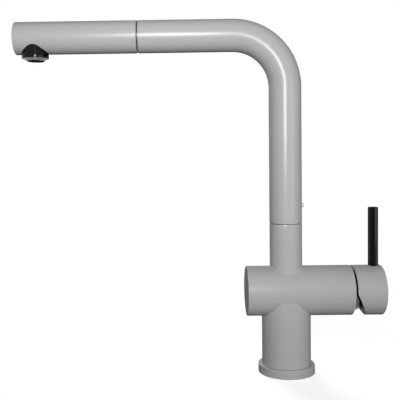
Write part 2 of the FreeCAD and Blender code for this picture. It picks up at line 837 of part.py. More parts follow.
def make_aerator():
    outer = NOZZLE_BORE + " - seat_gap"
    low = NOZZLE_BOTTOM + " + aerator_inset"
    top = NOZZLE_TOP + " - nozzle_roof"
    ledge = low + " + screen_thickness"
    body = turned("aerator_housing", [
        (outer + " - aerator_wall", low),
        (outer, low),
        (outer, top),
        (outer + " - 2 * aerator_wall", top),
        (outer + " - 2 * aerator_wall", ledge),
        (outer + " - aerator_wall", ledge),
    ])
    bind(body, "Placement.Base.x", "-reach")
    node(body, "aerator_housing")
    screen = rod("screen_blank", outer + " - aerator_wall - seat_gap", "screen_thickness",
                 ("-reach", "0", low))
    holes = []
    for circle, count in (("screen_ring_inner", 6), ("screen_ring_outer", 12)):
        for index in range(count):
            angle = index * 360 / count
            across = "-reach + %s * cos(%g)" % (circle, angle)
            along = "%s * sin(%g)" % (circle, angle)
            name = "screen_hole_%s_%d" % (circle, index)
            mouth = (across, along, low + " - overshoot")
            holes.append(rod(name, "screen_hole", "screen_thickness + 2 * overshoot", mouth))
    node(cut("screen_drilled", screen, holes), "aerator_screen")


def make_cartridge_base():
    """The cartridge's foot plate with a seal in a recess round each water port."""
    plate = rod("plate_blank", "cartridge_radius", "base_plate",
                ("cartridge_seat", "0", "barrel_height"), "X")
    tools = []
    rings = []
    for index, mouth in enumerate(port_places("cartridge_seat")):
        tools.append(rod("plate_port_%d" % index, "port_radius", "base_plate", mouth, "X"))
        tools.append(rod("plate_recess_%d" % index, "port_seal_radius", "port_seal_depth", mouth, "X"))
        outer = rod("seal_outer_%d" % index, "port_seal_radius - seat_gap", "port_seal_depth",
                    mouth, "X")
        inner = rod("seal_inner_%d" % index, "port_radius", "port_seal_depth", mouth, "X")
        rings.append(cut("port_seal_%d" % index, outer, [inner]))
    node(cut("plate_drilled", plate, tools), "cartridge_base")
    seals = doc.addObject("Part::Compound", "port_seals_group")
    seals.Links = rings
    node(seals, "port_seals")


def make_discs():
    """The fixed disc and the one that slides over it, with its slider."""
    fixed = rod("fixed_blank", CARTRIDGE_BORE + " - cartridge_clearance", "disc_thickness",
                (DISC_SEAT, "0", "barrel_height"), "X")
    holes = []
    for index, mouth in enumerate(port_places(DISC_SEAT)):
        holes.append(rod("fixed_port_%d" % index, "port_radius", "disc_thickness", mouth, "X"))
    node(cut("fixed_drilled", fixed, holes), "fixed_disc")
    moving = [
        (SLIDE_FACE, "moving_disc_pocket"),
        (SLIDE_FACE, "moving_disc_radius"),
        (SLIDE_FACE + " + disc_thickness", "moving_disc_radius"),
        (SLIDE_FACE + " + disc_thickness", "0"),
        (SLIDE_FACE + " + moving_disc_pocket_depth", "0"),
        (SLIDE_FACE + " + moving_disc_pocket_depth", "moving_disc_pocket"),
    ]
    node(turned("moving_disc", moving, "X", "barrel_height"), "moving_disc")
    socket = "tail_ball + seat_gap"
    slider = [
        (SLIDER_BACK, "0"),
        (SLIDER_BACK, "slider_radius"),
        (SLIDER_FRONT, "slider_radius"),
        (SLIDER_FRONT, socket),
        (SLIDER_FRONT + " - tail_socket_depth", socket),
        (SLIDER_FRONT + " - tail_socket_depth", "0"),
    ]
    node(turned("disc_slider", slider, "X", "barrel_height"), "disc_slider")


def make_driver():
    """The turning guide in the cartridge's head, slotted for the lever's stem, and its pin."""
    blank = turned("driver_blank", [
        (DRIVER_BACK, "0"),
        (DRIVER_BACK, "driver_flange_radius"),
        (DRIVER_BACK + " + driver_flange", "driver_flange_radius"),
        (DRIVER_BACK + " + driver_flange", "driver_radius"),
        ("head_top", "driver_radius"),
        ("head_top", "0"),
    ], "X", "barrel_height")
    slot_depth = "head_top - " + DRIVER_BACK + " + 2 * overshoot"
    corner = (DRIVER_BACK + " - overshoot", "-driver_slot_width / 2",
              "barrel_height - driver_slot_length / 2")
    slot = block("driver_slot", (slot_depth, "driver_slot_width", "driver_slot_length"), corner)
    at = ("pivot_reach", "-pin_length / 2", "barrel_height")
    pin_way = rod("pin_way", "pin_radius + press_gap", "2 * driver_radius + 2 * overshoot",
                  ("pivot_reach", "-driver_radius - overshoot", "barrel_height"), "Y")
    node(cut("driver_slotted", blank, [slot, pin_way]), "cartridge_driver")
    node(rod("pivot_pin", "pin_radius", "pin_length", at, "Y"), "pivot_pin")


def make_cartridge_housing():
    inside = CARTRIDGE_BORE
    profile = [
        (DISC_SEAT, inside),
        (DISC_SEAT, "cartridge_radius"),
        (NUT_BACK, "cartridge_radius"),
        (NUT_BACK, "head_radius"),
        ("head_top", "head_radius"),
        ("head_top", "driver_radius + running_gap"),
        (SHOULDER, "driver_radius + running_gap"),
        (SHOULDER, inside),
    ]
    node(turned("cartridge_housing", profile, "X", "barrel_height"), "cartridge_housing")


def make_nut():
    """The ring nut that clamps the cartridge, with six notches for its key."""
    profile = sleeve("head_radius + seat_gap", "nut_radius", NUT_BACK, NUT_BACK + " + nut_thickness")
    blank = turned("nut_blank", profile, "X", "barrel_height")
    notches = []
    for index in range(3):
        angle = 60 * index
        lengths = ("nut_notch_depth + overshoot", "nut_notch", "2 * nut_radius + 2 * overshoot")
        slot = block("nut_notch_%d" % index, lengths, ("0", "0", "0"))
        slot.Placement.Rotation = FreeCAD.Rotation(FreeCAD.Vector(1, 0, 0), angle)
        bind(slot, "Placement.Base.x", NUT_BACK + " + nut_thickness - nut_notch_depth")
        across = "-nut_notch / 2 * cos(%d) + (nut_radius + overshoot) * sin(%d)" % (angle, angle)
        down = "-nut_notch / 2 * sin(%d) - (nut_radius + overshoot) * cos(%d)" % (angle, angle)
        bind(slot, "Placement.Base.y", across)
        bind(slot, "Placement.Base.z", "barrel_height " + down)
        notches.append(slot)
    node(cut("nut_notched", blank, notches), "cartridge_nut")


def make_trim_ring():
    """The ring that shows beside the lever's cap, rounded about the lever's pivot."""
    pivot = ("pivot_reach", "0", "barrel_height")
    flange_back = NUT_BACK + " + nut_thickness"
    blank = turned("ring_blank", [
        (flange_back, "0"),
        (flange_back, "nut_radius"),
        (flange_back + " + ring_flange", "nut_radius"),
        (flange_back + " + ring_flange", "ring_radius"),
        ("pivot_reach + dome_radius", "ring_radius"),
        ("pivot_reach + dome_radius", "0"),
    ], "X", "barrel_height")
    domed = shared("ring_domed", blank, ball("dome_outside", "dome_radius", pivot))
    back = (flange_back, "0", "barrel_height")
    straight = rod("ring_bore", "ring_radius - ring_wall", "dome_radius + overshoot", back, "X")
    hollow = shared("ring_hollow", straight, ball("dome_inside", "dome_radius - ring_wall", pivot))
    opening = rod("ring_opening", "dome_opening", "dome_radius + overshoot", back, "X")
    node(cut("ring_open", domed, [hollow, opening]), "trim_ring")


def make_lever_stem():
    """The square stem that rocks on the pin, with a knobbed tail that pushes the disc's slider."""
    square = block("stem_bar", ("stem_back + stem_front", "stem_square", "stem_square"),
                   ("pivot_reach - stem_back", "-stem_square / 2", "barrel_height - stem_square / 2"))
    middle = "pivot_reach - tail_arm"
    tail = turned("stem_tail", [
        (middle + " - tail_ball", "0"),
        (middle + " - tail_ball", "tail_ball * sin(15)"),
        (middle + " - tail_ball * sin(60)", "tail_ball / 2"),
        (middle + " - tail_ball / 2", "tail_ball * sin(60)"),
        (middle, "tail_ball"),
        (middle + " + tail_ball / 2", "tail_ball * sin(60)"),
        (middle + " + sqrt(tail_ball * tail_ball - tail_radius * tail_radius)", "tail_radius"),
        ("pivot_reach - stem_back + overshoot", "tail_radius"),
        ("pivot_reach - stem_back + overshoot", "0"),
    ], "X", "barrel_height")
    whole = joined("stem_joined", [square, tail])
    eye = rod("stem_eye", "pin_radius + running_gap", "2 * stem_square",
              ("pivot_reach", "-stem_square", "barrel_height"), "Y")
    node(cut("stem_bored", whole, [eye]), "lever_stem")


def make_handle_cap():
    """The lever's round cap: hollow towards the barrel, cut back below so that it can tip."""
    body = new_body("cap_blank", "barrel_height")
    revolve(body, "cap_profile", [
        (CAP_BACK, "cap_radius - cap_wall"),
        (CAP_BACK, "cap_radius"),
        (CAP_FRONT, "cap_radius"),
        (CAP_FRONT, "0"),
        (CAP_FLOOR, "0"),
        (CAP_FLOOR, "cap_radius - cap_wall"),
    ], "X")
    rim = round_edges(body.Shape, number("cap_radius"), "X", number(CAP_FRONT))
    soften(body, "cap_rim", "cap_edge", rim, "PartDesign::Chamfer")
    before = body.Shape.Volume
    sketch = new_sketch(body, "cap_cut_outline")
    drop = "(cap_radius + 2 * overshoot)"
    outline(sketch, [
        (CAP_BACK + " - overshoot", "0"),
        (CAP_BACK, "0"),
        (CAP_BACK + " + " + drop + " * tan(cap_cut_angle)", "-" + drop),
        (CAP_BACK + " - overshoot", "-" + drop),
    ])
    pocket = body.newObject("PartDesign::Pocket", "cap_cut")
    pocket.Profile = sketch
    pocket.Midplane = True
    bind(pocket, "Length", "2 * cap_radius + 4 * overshoot")
    doc.recompute()
    if body.Shape.Volume >= before:
        raise RuntimeError("cap_cut removes nothing")
    side = "stem_square + seat_gap"
    socket_depth = "stem_front + pivot_reach - " + CAP_FLOOR + " + 2 * overshoot"
    socket = block("cap_socket", (socket_depth, side, side),
                   (CAP_FLOOR + " - overshoot", "-(%s) / 2" % side, "barrel_height - (%s) / 2" % side))
    seat = rod("rod_seat", "rod_radius + seat_gap", "rod_seat_drop + overshoot",
               ("rod_reach", "0", ROD_SEAT))
    thread = rod("rod_thread", "rod_thread_radius + press_gap", "rod_thread_length + overshoot",
                 ("rod_reach", "0", ROD_SEAT + " - rod_thread_length"))
    screw_way = rod("cap_screw_way", "cap_screw_radius + press_gap", "cap_radius",
                    ("rod_reach", "0", "barrel_height - cap_radius"))
    node(cut("cap_drilled", body, [socket, seat, thread, screw_way]), "handle_cap")


def make_lever_rod():
    profile = [
        ("0", ROD_SEAT + " - rod_thread_length"),
        ("rod_thread_radius", ROD_SEAT + " - rod_thread_length"),
        ("rod_thread_radius", ROD_SEAT),
        ("rod_radius", ROD_SEAT),
        ("rod_radius", "rod_top - rod_edge"),
        ("rod_radius - rod_edge", "rod_top"),
        ("0", "rod_top"),
    ]
    body = turned("lever_rod", profile)
    bind(body, "Placement.Base.x", "rod_reach")
    node(body, "lever_rod")


def make_cap_screw():
    """The grub screw that holds the cap on the square stem."""
    top = "barrel_height - stem_square / 2 - running_gap"
    bottom = top + " - cap_screw_length"
    profile = [
        ("key_radius", bottom),
        ("cap_screw_radius", bottom),
        ("cap_screw_radius", top),
        ("0", top),
        ("0", bottom + " + key_depth"),
        ("key_radius", bottom + " + key_depth"),
    ]
    body = turned("handle_grub_screw", profile)
    bind(body, "Placement.Base.x", "rod_reach")
    node(body, "handle_grub_screw")


def check(thing):
    """Stop if a sub-part failed to build."""
    if "Invalid" in thing.State or "Error" in thing.State:
        raise RuntimeError(thing.Label + " failed")


def main():
    make_base_ring()
    make_deck_seal()
    make_body_casting()
    make_end_cap()
    make_swivel_stem()
    make_glide_rings()
    make_joint_washer()
    make_spout()
    make_stop_screw()
    make_docking_collar()
    make_hose()
    make_hose_connector()
    make_handset_shell()
    make_handset_core()
    make_handset_end()
    make_valve()
    make_nozzle()
    make_aerator()
    make_cartridge_base()
    make_discs()
    make_driver()
    make_cartridge_housing()
    make_nut()
    make_trim_ring()
    make_lever_stem()
    make_handle_cap()
    make_lever_rod()
    make_cap_screw()
    doc.recompute()
    for thing in doc.Objects:
        check(thing)
    os.makedirs("parts", exist_ok=True)
    for thing in nodes:
        shape = thing.Shape
        if shape.isNull() or not shape.isValid():
            raise RuntimeError(thing.Label + " has no valid shape")
        shape.exportStep("parts/%s.step" % thing.Label)
        print("%-20s solids %d volume %10.1f" % (thing.Label, len(shape.Solids), shape.Volume))
    print(len(nodes), "nodes")


main()
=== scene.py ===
import functools
import json
import math

import bmesh
import bpy
import numpy as np
from mathutils import Matrix, Vector
from mathutils.geometry import delaunay_2d_cdt


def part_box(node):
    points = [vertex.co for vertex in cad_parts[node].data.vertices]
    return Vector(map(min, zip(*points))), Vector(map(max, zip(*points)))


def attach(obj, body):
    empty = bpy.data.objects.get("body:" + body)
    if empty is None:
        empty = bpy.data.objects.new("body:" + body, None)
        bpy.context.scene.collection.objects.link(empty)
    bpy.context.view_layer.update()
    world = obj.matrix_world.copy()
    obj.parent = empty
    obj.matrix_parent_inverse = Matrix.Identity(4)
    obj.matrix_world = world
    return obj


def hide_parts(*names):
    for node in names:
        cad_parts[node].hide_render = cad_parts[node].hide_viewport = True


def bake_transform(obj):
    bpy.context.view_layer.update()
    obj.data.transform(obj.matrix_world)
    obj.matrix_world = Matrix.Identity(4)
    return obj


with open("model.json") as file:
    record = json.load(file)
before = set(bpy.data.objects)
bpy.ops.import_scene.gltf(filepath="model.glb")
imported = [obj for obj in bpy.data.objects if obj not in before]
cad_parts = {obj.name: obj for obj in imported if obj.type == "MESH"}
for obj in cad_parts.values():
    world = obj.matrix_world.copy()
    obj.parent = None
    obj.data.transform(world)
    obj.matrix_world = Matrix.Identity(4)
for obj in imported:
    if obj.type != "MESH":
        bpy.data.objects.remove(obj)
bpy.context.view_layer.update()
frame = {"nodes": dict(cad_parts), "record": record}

bl_info = {
    "name": "Pull-out Mixer Tap",
    "version": (1, 0, 0),
    "blender": (4, 5, 0),
    "location": "View3D > Sidebar > Mixer Tap",
    "description": "Finished surfaces and a plain studio for a pull-out mixer tap",
    "category": "Object",
}

MM = 0.001
QUARTER = math.pi / 2
TURN = 2 * math.pi

# Places that the frame gives, in metres
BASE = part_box("base_ring")
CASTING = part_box("body_casting")
END_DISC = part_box("barrel_end_cap")
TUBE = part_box("spout_tube")
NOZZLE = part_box("outlet_nozzle")
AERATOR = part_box("aerator_housing")
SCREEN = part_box("aerator_screen")
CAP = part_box("handle_cap")
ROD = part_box("lever_rod")

BARREL_Z = (END_DISC[0].z + END_DISC[1].z) / 2
BARREL_RADIUS = CASTING[1].y
TUBE_RADIUS = TUBE[1].x
SPOUT_Z = TUBE[1].z - TUBE_RADIUS
OUTLET_X = (NOZZLE[0].x + NOZZLE[1].x) / 2
LEVER_X = (ROD[0].x + ROD[1].x) / 2
ROD_SEAT = CAP[1].z - 0.9 * MM

# Fits and bores that several pieces share
GAP = 0.1 * MM
CASTING_SPIGOT = 19.4 * MM
HOSE_WAY = 7.2 * MM
NECK_BORE = 11.0 * MM
STEM_SEAT = 104.0 * MM
DISC_RIM = 3.4 * MM
DISC_SPIGOT = 18.9 * MM

GREY = "light_grey_lacquer"

# How finely outlines are drawn, and the angle from which an edge shades as sharp
ARC_STEPS = 6
HOLD = 0.25 * MM
SHARP_ANGLE = math.radians(22.0)


def length(name, text, millimetres):
    return bpy.props.FloatProperty(
        name=name, description=text, default=millimetres * MM, unit="LENGTH", precision=4)


def colour(name, part, value):
    return bpy.props.FloatVectorProperty(
        name=name, description="Colour of the " + part, default=value, subtype="COLOR", size=3, min=0, max=1)


def power(name, text, watts):
    return bpy.props.FloatProperty(name=name, description=text, default=watts, min=0, subtype="POWER")


class TapSizes(bpy.types.PropertyGroup):
    """Sizes that the frame's boxes don't give."""
    column_radius: length("Column radius", "Radius of the upright column", 22.0)
    column_top: length("Column top", "Height of the flat ledge where the column meets the barrel", 66.6)
    neck_blend: length("Neck blend", "Radius of the hollow corner at the neck's foot", 1.5)
    bend_radius: length("Bend radius", "Radius of the spout's bend, on its centre line", 47.0)
    tube_wall: length("Tube wall", "Wall of the spout's tube and of the pull-out end", 1.5)
    soft_edge: length("Soft edge", "Rounding that the lacquer leaves on an outer edge", 0.5)
    pivot_reach: length("Pivot reach", "Distance from the column's axis to the lever's tilting pin", 55.0)
    cut_angle: bpy.props.FloatProperty(
        name="Cap cut", description="Slant of the lever cap's lower edge",
        default=math.radians(24.8), subtype="ANGLE")
    pull: length("Pull", "How far the hose comes out of the spout", 400.0)


class TapColours(bpy.types.PropertyGroup):
    """The finishes' own colours."""
    lacquer: colour("Grey lacquer", "column, spout and lever cap", (0.50, 0.50, 0.50))
    black: colour("Black lacquer", "lever's rod", (0.005, 0.005, 0.0055))
    smoked_chrome: colour("Dark chrome", "ring behind the cap", (0.085, 0.085, 0.090))
    outlet_chrome: colour("Outlet chrome", "outlet's wall", (0.016, 0.016, 0.017))
    brass: colour("Brass", "inner turned parts", (0.74, 0.55, 0.25))
    steel: colour("Stainless steel", "grub screws and the tilting pin", (0.55, 0.55, 0.54))
    braid: colour("Hose braid", "hose's woven sleeve", (0.20, 0.21, 0.23))


class StudioSettings(bpy.types.PropertyGroup):
    """Light, floor and camera."""
    key_power: power("Key light", "Power of the soft box behind and above the camera", 1.50)
    side_power: power("Side light", "Power of the weak soft box on the right", 0.42)
    back_power: power("Back light", "Power of the broad light behind the tap", 7.0)
    fill: bpy.props.FloatProperty(
        name="Fill", description="Even light from all round", default=0.035, min=0, max=1)
    floor_reach: length("Floor", "Half the side of the floor", 3000.0)


def sizes():
    return bpy.context.scene.tap_sizes


def linked(name, data):
    """A new object in the scene."""
    thing = bpy.data.objects.new(name, data)
    bpy.context.scene.collection.objects.link(thing)
    return thing


# Outlines

def unit(vector):
    return vector / np.linalg.norm(vector)


def corner_arc(before, corner, after, radius):
    """Points of the circle of one radius that touches both sides of a corner, from side to side."""
    back = unit(before - corner)
    onward = unit(after - corner)
    half = math.acos(np.clip(back @ onward, -1, 1)) / 2
    centre = corner + unit(back + onward) * radius / math.sin(half)
    start = corner + back * radius / math.tan(half) - centre
    end = corner + onward * radius / math.tan(half) - centre
    sweep = math.pi - 2 * half
    part = np.linspace(0, 1, ARC_STEPS + 1)[:, None]
    return centre + (np.sin((1 - part) * sweep) * start + np.sin(part * sweep) * end) / math.sin(sweep)


def outline(corners, closed=True):
    """Outline through corners (along, out, rounding): each rounded corner is an arc, with one more point
    a little way down either side of every corner so that the long sides shade as straight."""
    points = np.array([corner[:2] for corner in corners], float)
    result = []
    for i, corner in enumerate(corners):
        before, here, after = points[i - 1], points[i], points[(i + 1) % len(points)]
        if not closed and i in (0, len(points) - 1):
            result.append(here[None])
            continue
        turn = corner_arc(before, here, after, corner[2]) if len(corner) > 2 else here[None]
        for other, end, first in ((before, turn[0], True), (after, turn[-1], False)):
            gap = np.linalg.norm(other - end)
            if gap > 4 * HOLD:
                held = end + (other - end) * HOLD / gap
                turn = np.vstack([held, turn]) if first else np.vstack([turn, held])
        result.append(turn)
    return np.vstack(result)


def with_stations(line, marks):
    """The closed outline with a point more wherever one of its long sides passes a mark."""
    result = []
    for start, end in zip(line, np.roll(line, -1, axis=0)):
        result.append(start[None])
        run = end[0] - start[0]
        if abs(run) >= MM:
            part = np.sort((marks - start[0]) / run)
            part = part[(part > 0.002) & (part < 0.998)][:, None]
            result.append(start + part * (end - start))
    return np.vstack(result)


def xyz(x, y, z):
    """Points from their coordinates, of which any may be one number for all."""
    return np.stack(np.broadcast_arrays(x, y, z), axis=-1)


# Paths: each gives, for distances along, the axis's point and its first direction out

def level(height):
    """A straight axis along X, whose first direction out is +Z."""
    def path(along):
        point = xyz(along, 0, height)
        return point, np.broadcast_to([0.0, 0.0, 1.0], point.shape)
    return path


def upright(x, y=0.0):
    """A straight axis along Z, whose first direction out is +X."""
    def path(along):
        point = xyz(x, y, along)
        return point, np.broadcast_to([1.0, 0.0, 0.0], point.shape)
    return path


def bent(bottom):
    """The spout's axis: up the column from the bottom, round a quarter circle and level towards -X.
    The angle turned is the distance past the bend's start over its radius, held between nought and a
    quarter."""
    radius = sizes().bend_radius
    rise = SPOUT_Z - radius - bottom

    def path(along):
        angle = np.clip((along - rise) / radius, 0, QUARTER)
        before = np.minimum(along, rise)
        after = np.maximum(along - rise - radius * QUARTER, 0)
        x = -radius * (1 - np.cos(angle)) - after
        z = bottom + before + radius * np.sin(angle)
        return xyz(x, 0, z), xyz(np.cos(angle), 0, np.sin(angle))
    return path


def bent_length(bottom, tip):
    """Length of the spout's axis from the bottom to the tip."""
    radius = sizes().bend_radius
    return SPOUT_Z - radius - bottom + radius * QUARTER - radius - tip


BARREL_AXIS = level(BARREL_Z)
SPOUT_AXIS = level(SPOUT_Z)
COLUMN_AXIS = upright(0)
OUTLET_AXIS = upright(OUTLET_X)
ROD_AXIS = upright(LEVER_X)


# Surfaces

def around(count, start=0.0):
    return start + np.arange(count) * TURN / count


def carried(path, along, out, angles):
    """Rings round a path: point (i, j) is the path's point at the i-th distance along, plus the distance
    out (i, j) times (cosine of the j-th angle times the first direction + sine times +Y)."""
    point, first = path(along)
    side = np.array([0.0, 1.0, 0.0])
    return point[:, None] + out[..., None] * (np.cos(angles)[:, None] * first[:, None]
                                              + np.sin(angles)[:, None] * side)


def patch(grid, wrap_rows=False, wrap_columns=True):
    """A grid's points, and the corner numbers of the faces between neighbouring points."""
    rows, columns = grid.shape[:2]
    i = np.arange(rows if wrap_rows else rows - 1)
    j = np.arange(columns if wrap_columns else columns - 1)
    i, j = np.meshgrid(i, j, indexing="ij")
    down, across = (i + 1) % rows, (j + 1) % columns
    corners = [i * columns + j, i * columns + across, down * columns + across, down * columns + j]
    return grid.reshape(-1, 3), np.stack([c.ravel() for c in corners], axis=1)


def swept(line, path, angles, closed=True):
    """An outline of points (along, out) carried round a path, at these angles or at so many equal ones."""
    angles = around(angles) if isinstance(angles, int) else angles
    return patch(carried(path, line[:, 0], line[:, 1:], angles), wrap_rows=closed)


def turned(corners, path, angles, closed=True):
    """An outline through corners, carried round a path."""
    return swept(outline(corners, closed), path, angles, closed)


def ruled(first, second, rows):
    """Straight lines from one curve to another, cut into rows: a weighted mean of the two."""
    part = np.linspace(0, 1, rows + 1)[:, None, None]
    return patch((1 - part) * first + part * second)


def piece(name, patches, body, slot, replaced, look=None):
    """One closed mesh from patches that share their borders: equal points are joined, and faces turn out."""
    points, faces, count = [], [], 0
    for part_points, part_faces in patches:
        points.append(part_points)
        faces += (part_faces + count).tolist()
        count += len(part_points)
    mesh = bpy.data.meshes.new(name)
    mesh.from_pydata(np.vstack(points), [], faces)
    work = bmesh.new()
    work.from_mesh(mesh)
    bmesh.ops.remove_doubles(work, verts=work.verts, dist=0.002 * MM)
    bmesh.ops.dissolve_degenerate(work, edges=work.edges, dist=0.0002 * MM)
    bmesh.ops.recalc_face_normals(work, faces=work.faces)
    open_edges = sum(1 for edge in work.edges if len(edge.link_faces) != 2)
    work.to_mesh(mesh)
    work.free()
    if open_edges:
        raise RuntimeError("%s has %d open edges" % (name, open_edges))
    mesh.shade_smooth()
    mesh.set_sharp_from_angle(angle=SHARP_ANGLE)
    thing = linked(name, mesh)
    mesh.materials.append(finish(look or slot))
    if body:
        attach(thing, body)
    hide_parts(replaced)
    return thing


def socket_screw(name, shank, path, inward, half_width, body, replaced):
    """Grub screw whose shank's outline ends at the mouth of a six-sided socket. The socket's distance out
    at an angle is its half width over the cosine of the angle from the nearest flat."""
    head, mouth = shank[-1]
    turn = around(48)
    flats = half_width / np.cos((turn + math.pi / 6) % (math.pi / 3) - math.pi / 6)
    depths = np.array([0.0, 0.1, 2.0, 2.3]) * MM
    out = np.stack([mouth + 0 * turn, flats, flats, 0 * turn])
    socket = patch(carried(path, head + inward * depths, out, turn))
    piece(name, [turned(shank, path, turn, closed=False), socket], body, "stainless_steel", replaced)


# Barrels with round necks or holes let into them from above or below

def window(reach, along, across, radius):
    """Border of the square window in a barrel's upper or lower half: distance along from its middle and
    angle round from its crown, once round in equal steps. With it come each point's compass angle as
    seen from the window's middle, and the angles round the barrel beyond the window."""
    side = np.linspace(-QUARTER, QUARTER, across + 1)[:-1]
    end = np.linspace(-reach, reach, along + 1)[:-1]
    distance = np.concatenate([np.full(across, reach), -end, np.full(across, -reach), end])
    angle = np.concatenate([side, np.full(along, QUARTER), -side, np.full(along, -QUARTER)])
    return (distance, angle), np.arctan2(angle * radius, distance), around(2 * across, -QUARTER)


def on_barrel(x, angle, radius, height, up):
    return xyz(x, radius * np.sin(angle), height + up * radius * np.cos(angle))


def pierced(border, inner, middle, radius, height, up, rows):
    """The barrel between a window's border and a curve inside it: distance along and angle round are
    both a weighted mean of the border's and the curve's, and the point stays on the barrel."""
    part = (np.linspace(0, 1, rows + 1) ** 1.3)[:, None]
    x = middle + (1 - part) * inner[0] + part * border[0]
    angle = (1 - part) * inner[1] + part * border[1]
    return on_barrel(x, angle, radius, height, up)


def crown(reach, along, across, middle, radius, height):
    """An upper window left whole: the plain half barrel inside its border."""
    x, angle = np.meshgrid(middle + np.linspace(-reach, reach, along + 1),
                           np.linspace(-QUARTER, QUARTER, across + 1), indexing="ij")
    return patch(on_barrel(x, angle, radius, height, 1), wrap_columns=False)


def drilled_curve(hole, bearing, radius):
    """Where an upright hole meets a barrel: distance along and angle round for each bearing."""
    return hole * np.cos(bearing), np.arcsin(hole * np.sin(bearing) / radius)


def circle_at(radius, bearing, x, z, y=0.0):
    return xyz(x + radius * np.cos(bearing), y + radius * np.sin(bearing), z)


def flat_with_holes(rings, holes, z):
    """A flat face between a rim and its holes, all given as rings of points, cut into triangles. Triangles
    whose middle lies in a hole are left out."""
    edges, start = [], 0
    for ring in rings:
        number = np.arange(len(ring))
        edges += np.stack([start + number, start + (number + 1) % len(ring)], axis=1).tolist()
        start += len(ring)
    flat = [Vector(point[:2]) for point in np.vstack(rings)]
    made = delaunay_2d_cdt(flat, edges, [], 1, 1e-7)
    places, faces = np.array([[v.x, v.y, z] for v in made[0]]), np.array(made[2])
    middle = places[faces].mean(axis=1)
    kept = np.ones(len(faces), bool)
    for x, y, radius in holes:
        kept &= np.hypot(middle[:, 0] - x, middle[:, 1] - y) > radius
    return places, faces[kept]


# Shader nodes

def feed(tree, source, socket):
    """Gives a socket a plain value, or what another node puts out."""
    if isinstance(source, bpy.types.NodeSocket):
        tree.links.new(source, socket)
    else:
        socket.default_value = source


def add(tree, kind, **values):
    """A new node; keywords set its own properties, or feed its sockets where they bear those names."""
    made = tree.nodes.new("ShaderNode" + kind)
    for name, value in values.items():
        if hasattr(made, name):
            setattr(made, name, value)
        else:
            feed(tree, value, made.inputs[name.replace("_", " ")])
    return made


def give(node, **values):
    """Gives a node's sockets plain values."""
    for name, value in values.items():
        node.inputs[name.replace("_", " ")].default_value = value


def joined(tree, kind, *sources, **values):
    """What a new node puts out when its sockets take the sources in turn."""
    made = add(tree, kind, **values)
    for source, socket in zip(sources, made.inputs):
        feed(tree, source, socket)
    return made.outputs[0]


def maths(tree, operation, *sources):
    return joined(tree, "Math", *sources, operation=operation)


def stretch(tree, source, low, high):
    """A noise value spread between two limits."""
    spread = add(tree, "MapRange", Value=source, From_Min=0.3, From_Max=0.7, To_Min=low, To_Max=high)
    return spread.outputs["Result"]


def noise(tree, place, scale, detail):
    return add(tree, "TexNoise", Vector=place, Scale=scale, Detail=detail).outputs["Fac"]


# Effects that several finishes share

def start_group(name, **inputs):
    """A node group that puts out a colour, a roughness and a height, with what it is given and each point's
    place on the piece."""
    group = bpy.data.node_groups.new(name, "ShaderNodeTree")
    kinds = {1: "NodeSocketFloat", 3: "NodeSocketVector", 4: "NodeSocketColor"}
    for label, value in inputs.items():
        socket = group.interface.new_socket(label, in_out="INPUT", socket_type=kinds[np.size(value)])
        socket.default_value = value
    for label, size in (("Color", 4), ("Roughness", 1), ("Height", 1)):
        group.interface.new_socket(label, in_out="OUTPUT", socket_type=kinds[size])
    return group, group.nodes.new("NodeGroupInput").outputs, add(group, "TexCoord").outputs["Object"]


def finish_group(group, given, unevenness, shades, roughnesses, height):
    """The colour times a shade and the roughness both follow the unevenness between their limits."""
    shade = stretch(group, unevenness, *shades)
    tint = add(group, "VectorMath", operation="SCALE", Vector=given["Color"], Scale=shade).outputs["Vector"]
    made = group.nodes.new("NodeGroupOutput")
    for source, socket in zip((tint, stretch(group, unevenness, *roughnesses), height), made.inputs):
        group.links.new(source, socket)
    return group


@functools.cache
def spray_coat():
    """Sprayed lacquer: a faint cloudiness of colour, fine ripples in the surface and specks of dust."""
    group, given, place = start_group("Spray Coat", Color=(0.5, 0.5, 0.5, 1), Cloudiness=0.02, Roughness=0.3)
    cloud = noise(group, place, 35.0, 2.0)
    shades = [maths(group, operation, 1.0, given["Cloudiness"]) for operation in ("SUBTRACT", "ADD")]
    rough = [maths(group, "MULTIPLY", given["Roughness"], share) for share in (0.93, 1.07)]
    ripple = noise(group, place, 420.0, 2.0)
    speck = maths(group, "GREATER_THAN", noise(group, place, 1500.0, 0.0), 0.74)
    height = maths(group, "ADD", ripple, maths(group, "MULTIPLY", speck, 0.5))
    return finish_group(group, given, cloud, shades, rough, height)


@functools.cache
def moulded_grain():
    """Moulded plastic or rubber: fine grain in the surface, and a little unevenness of colour."""
    group, given, place = start_group(
        "Moulded Grain", Color=(0.03, 0.03, 0.03, 1), Scale=1800.0, Roughness=0.5)
    rough = [maths(group, operation, given["Roughness"], 0.06) for operation in ("SUBTRACT", "ADD")]
    broad, fine = noise(group, place, 90.0, 3.0), noise(group, place, given["Scale"], 3.0)
    return finish_group(group, given, broad, (0.88, 1.12), rough, fine)


@functools.cache
def tool_marks():
    """Turned or drawn metal: long fine scratches, with a slight change of colour and roughness."""
    group, given, place = start_group(
        "Tool Marks", Color=(0.5, 0.5, 0.5, 1), Roughness=0.25, Stretch=(4000.0, 120.0, 120.0))
    drawn = joined(group, "VectorMath", place, given["Stretch"], operation="MULTIPLY")
    scratch = noise(group, drawn, 1.0, 4.0)
    rough = [maths(group, "MULTIPLY", given["Roughness"], share) for share in (0.75, 1.30)]
    return finish_group(group, given, scratch, (0.90, 1.10), rough, scratch)


# Finishes

def new_material(name):
    material = bpy.data.materials.new(name)
    material.use_nodes = True
    return material


def dress(tree, tint, roughness, height, bump):
    """Feeds the surface shader a colour, a roughness and a relief of this strength and depth."""
    shader = tree.nodes["Principled BSDF"]
    relief = add(tree, "Bump", Strength=bump[0], Distance=bump[1], Height=height)
    normal = relief.outputs["Normal"]
    for name, source in (("Base Color", tint), ("Roughness", roughness), ("Normal", normal)):
        tree.links.new(source, shader.inputs[name])
    return shader


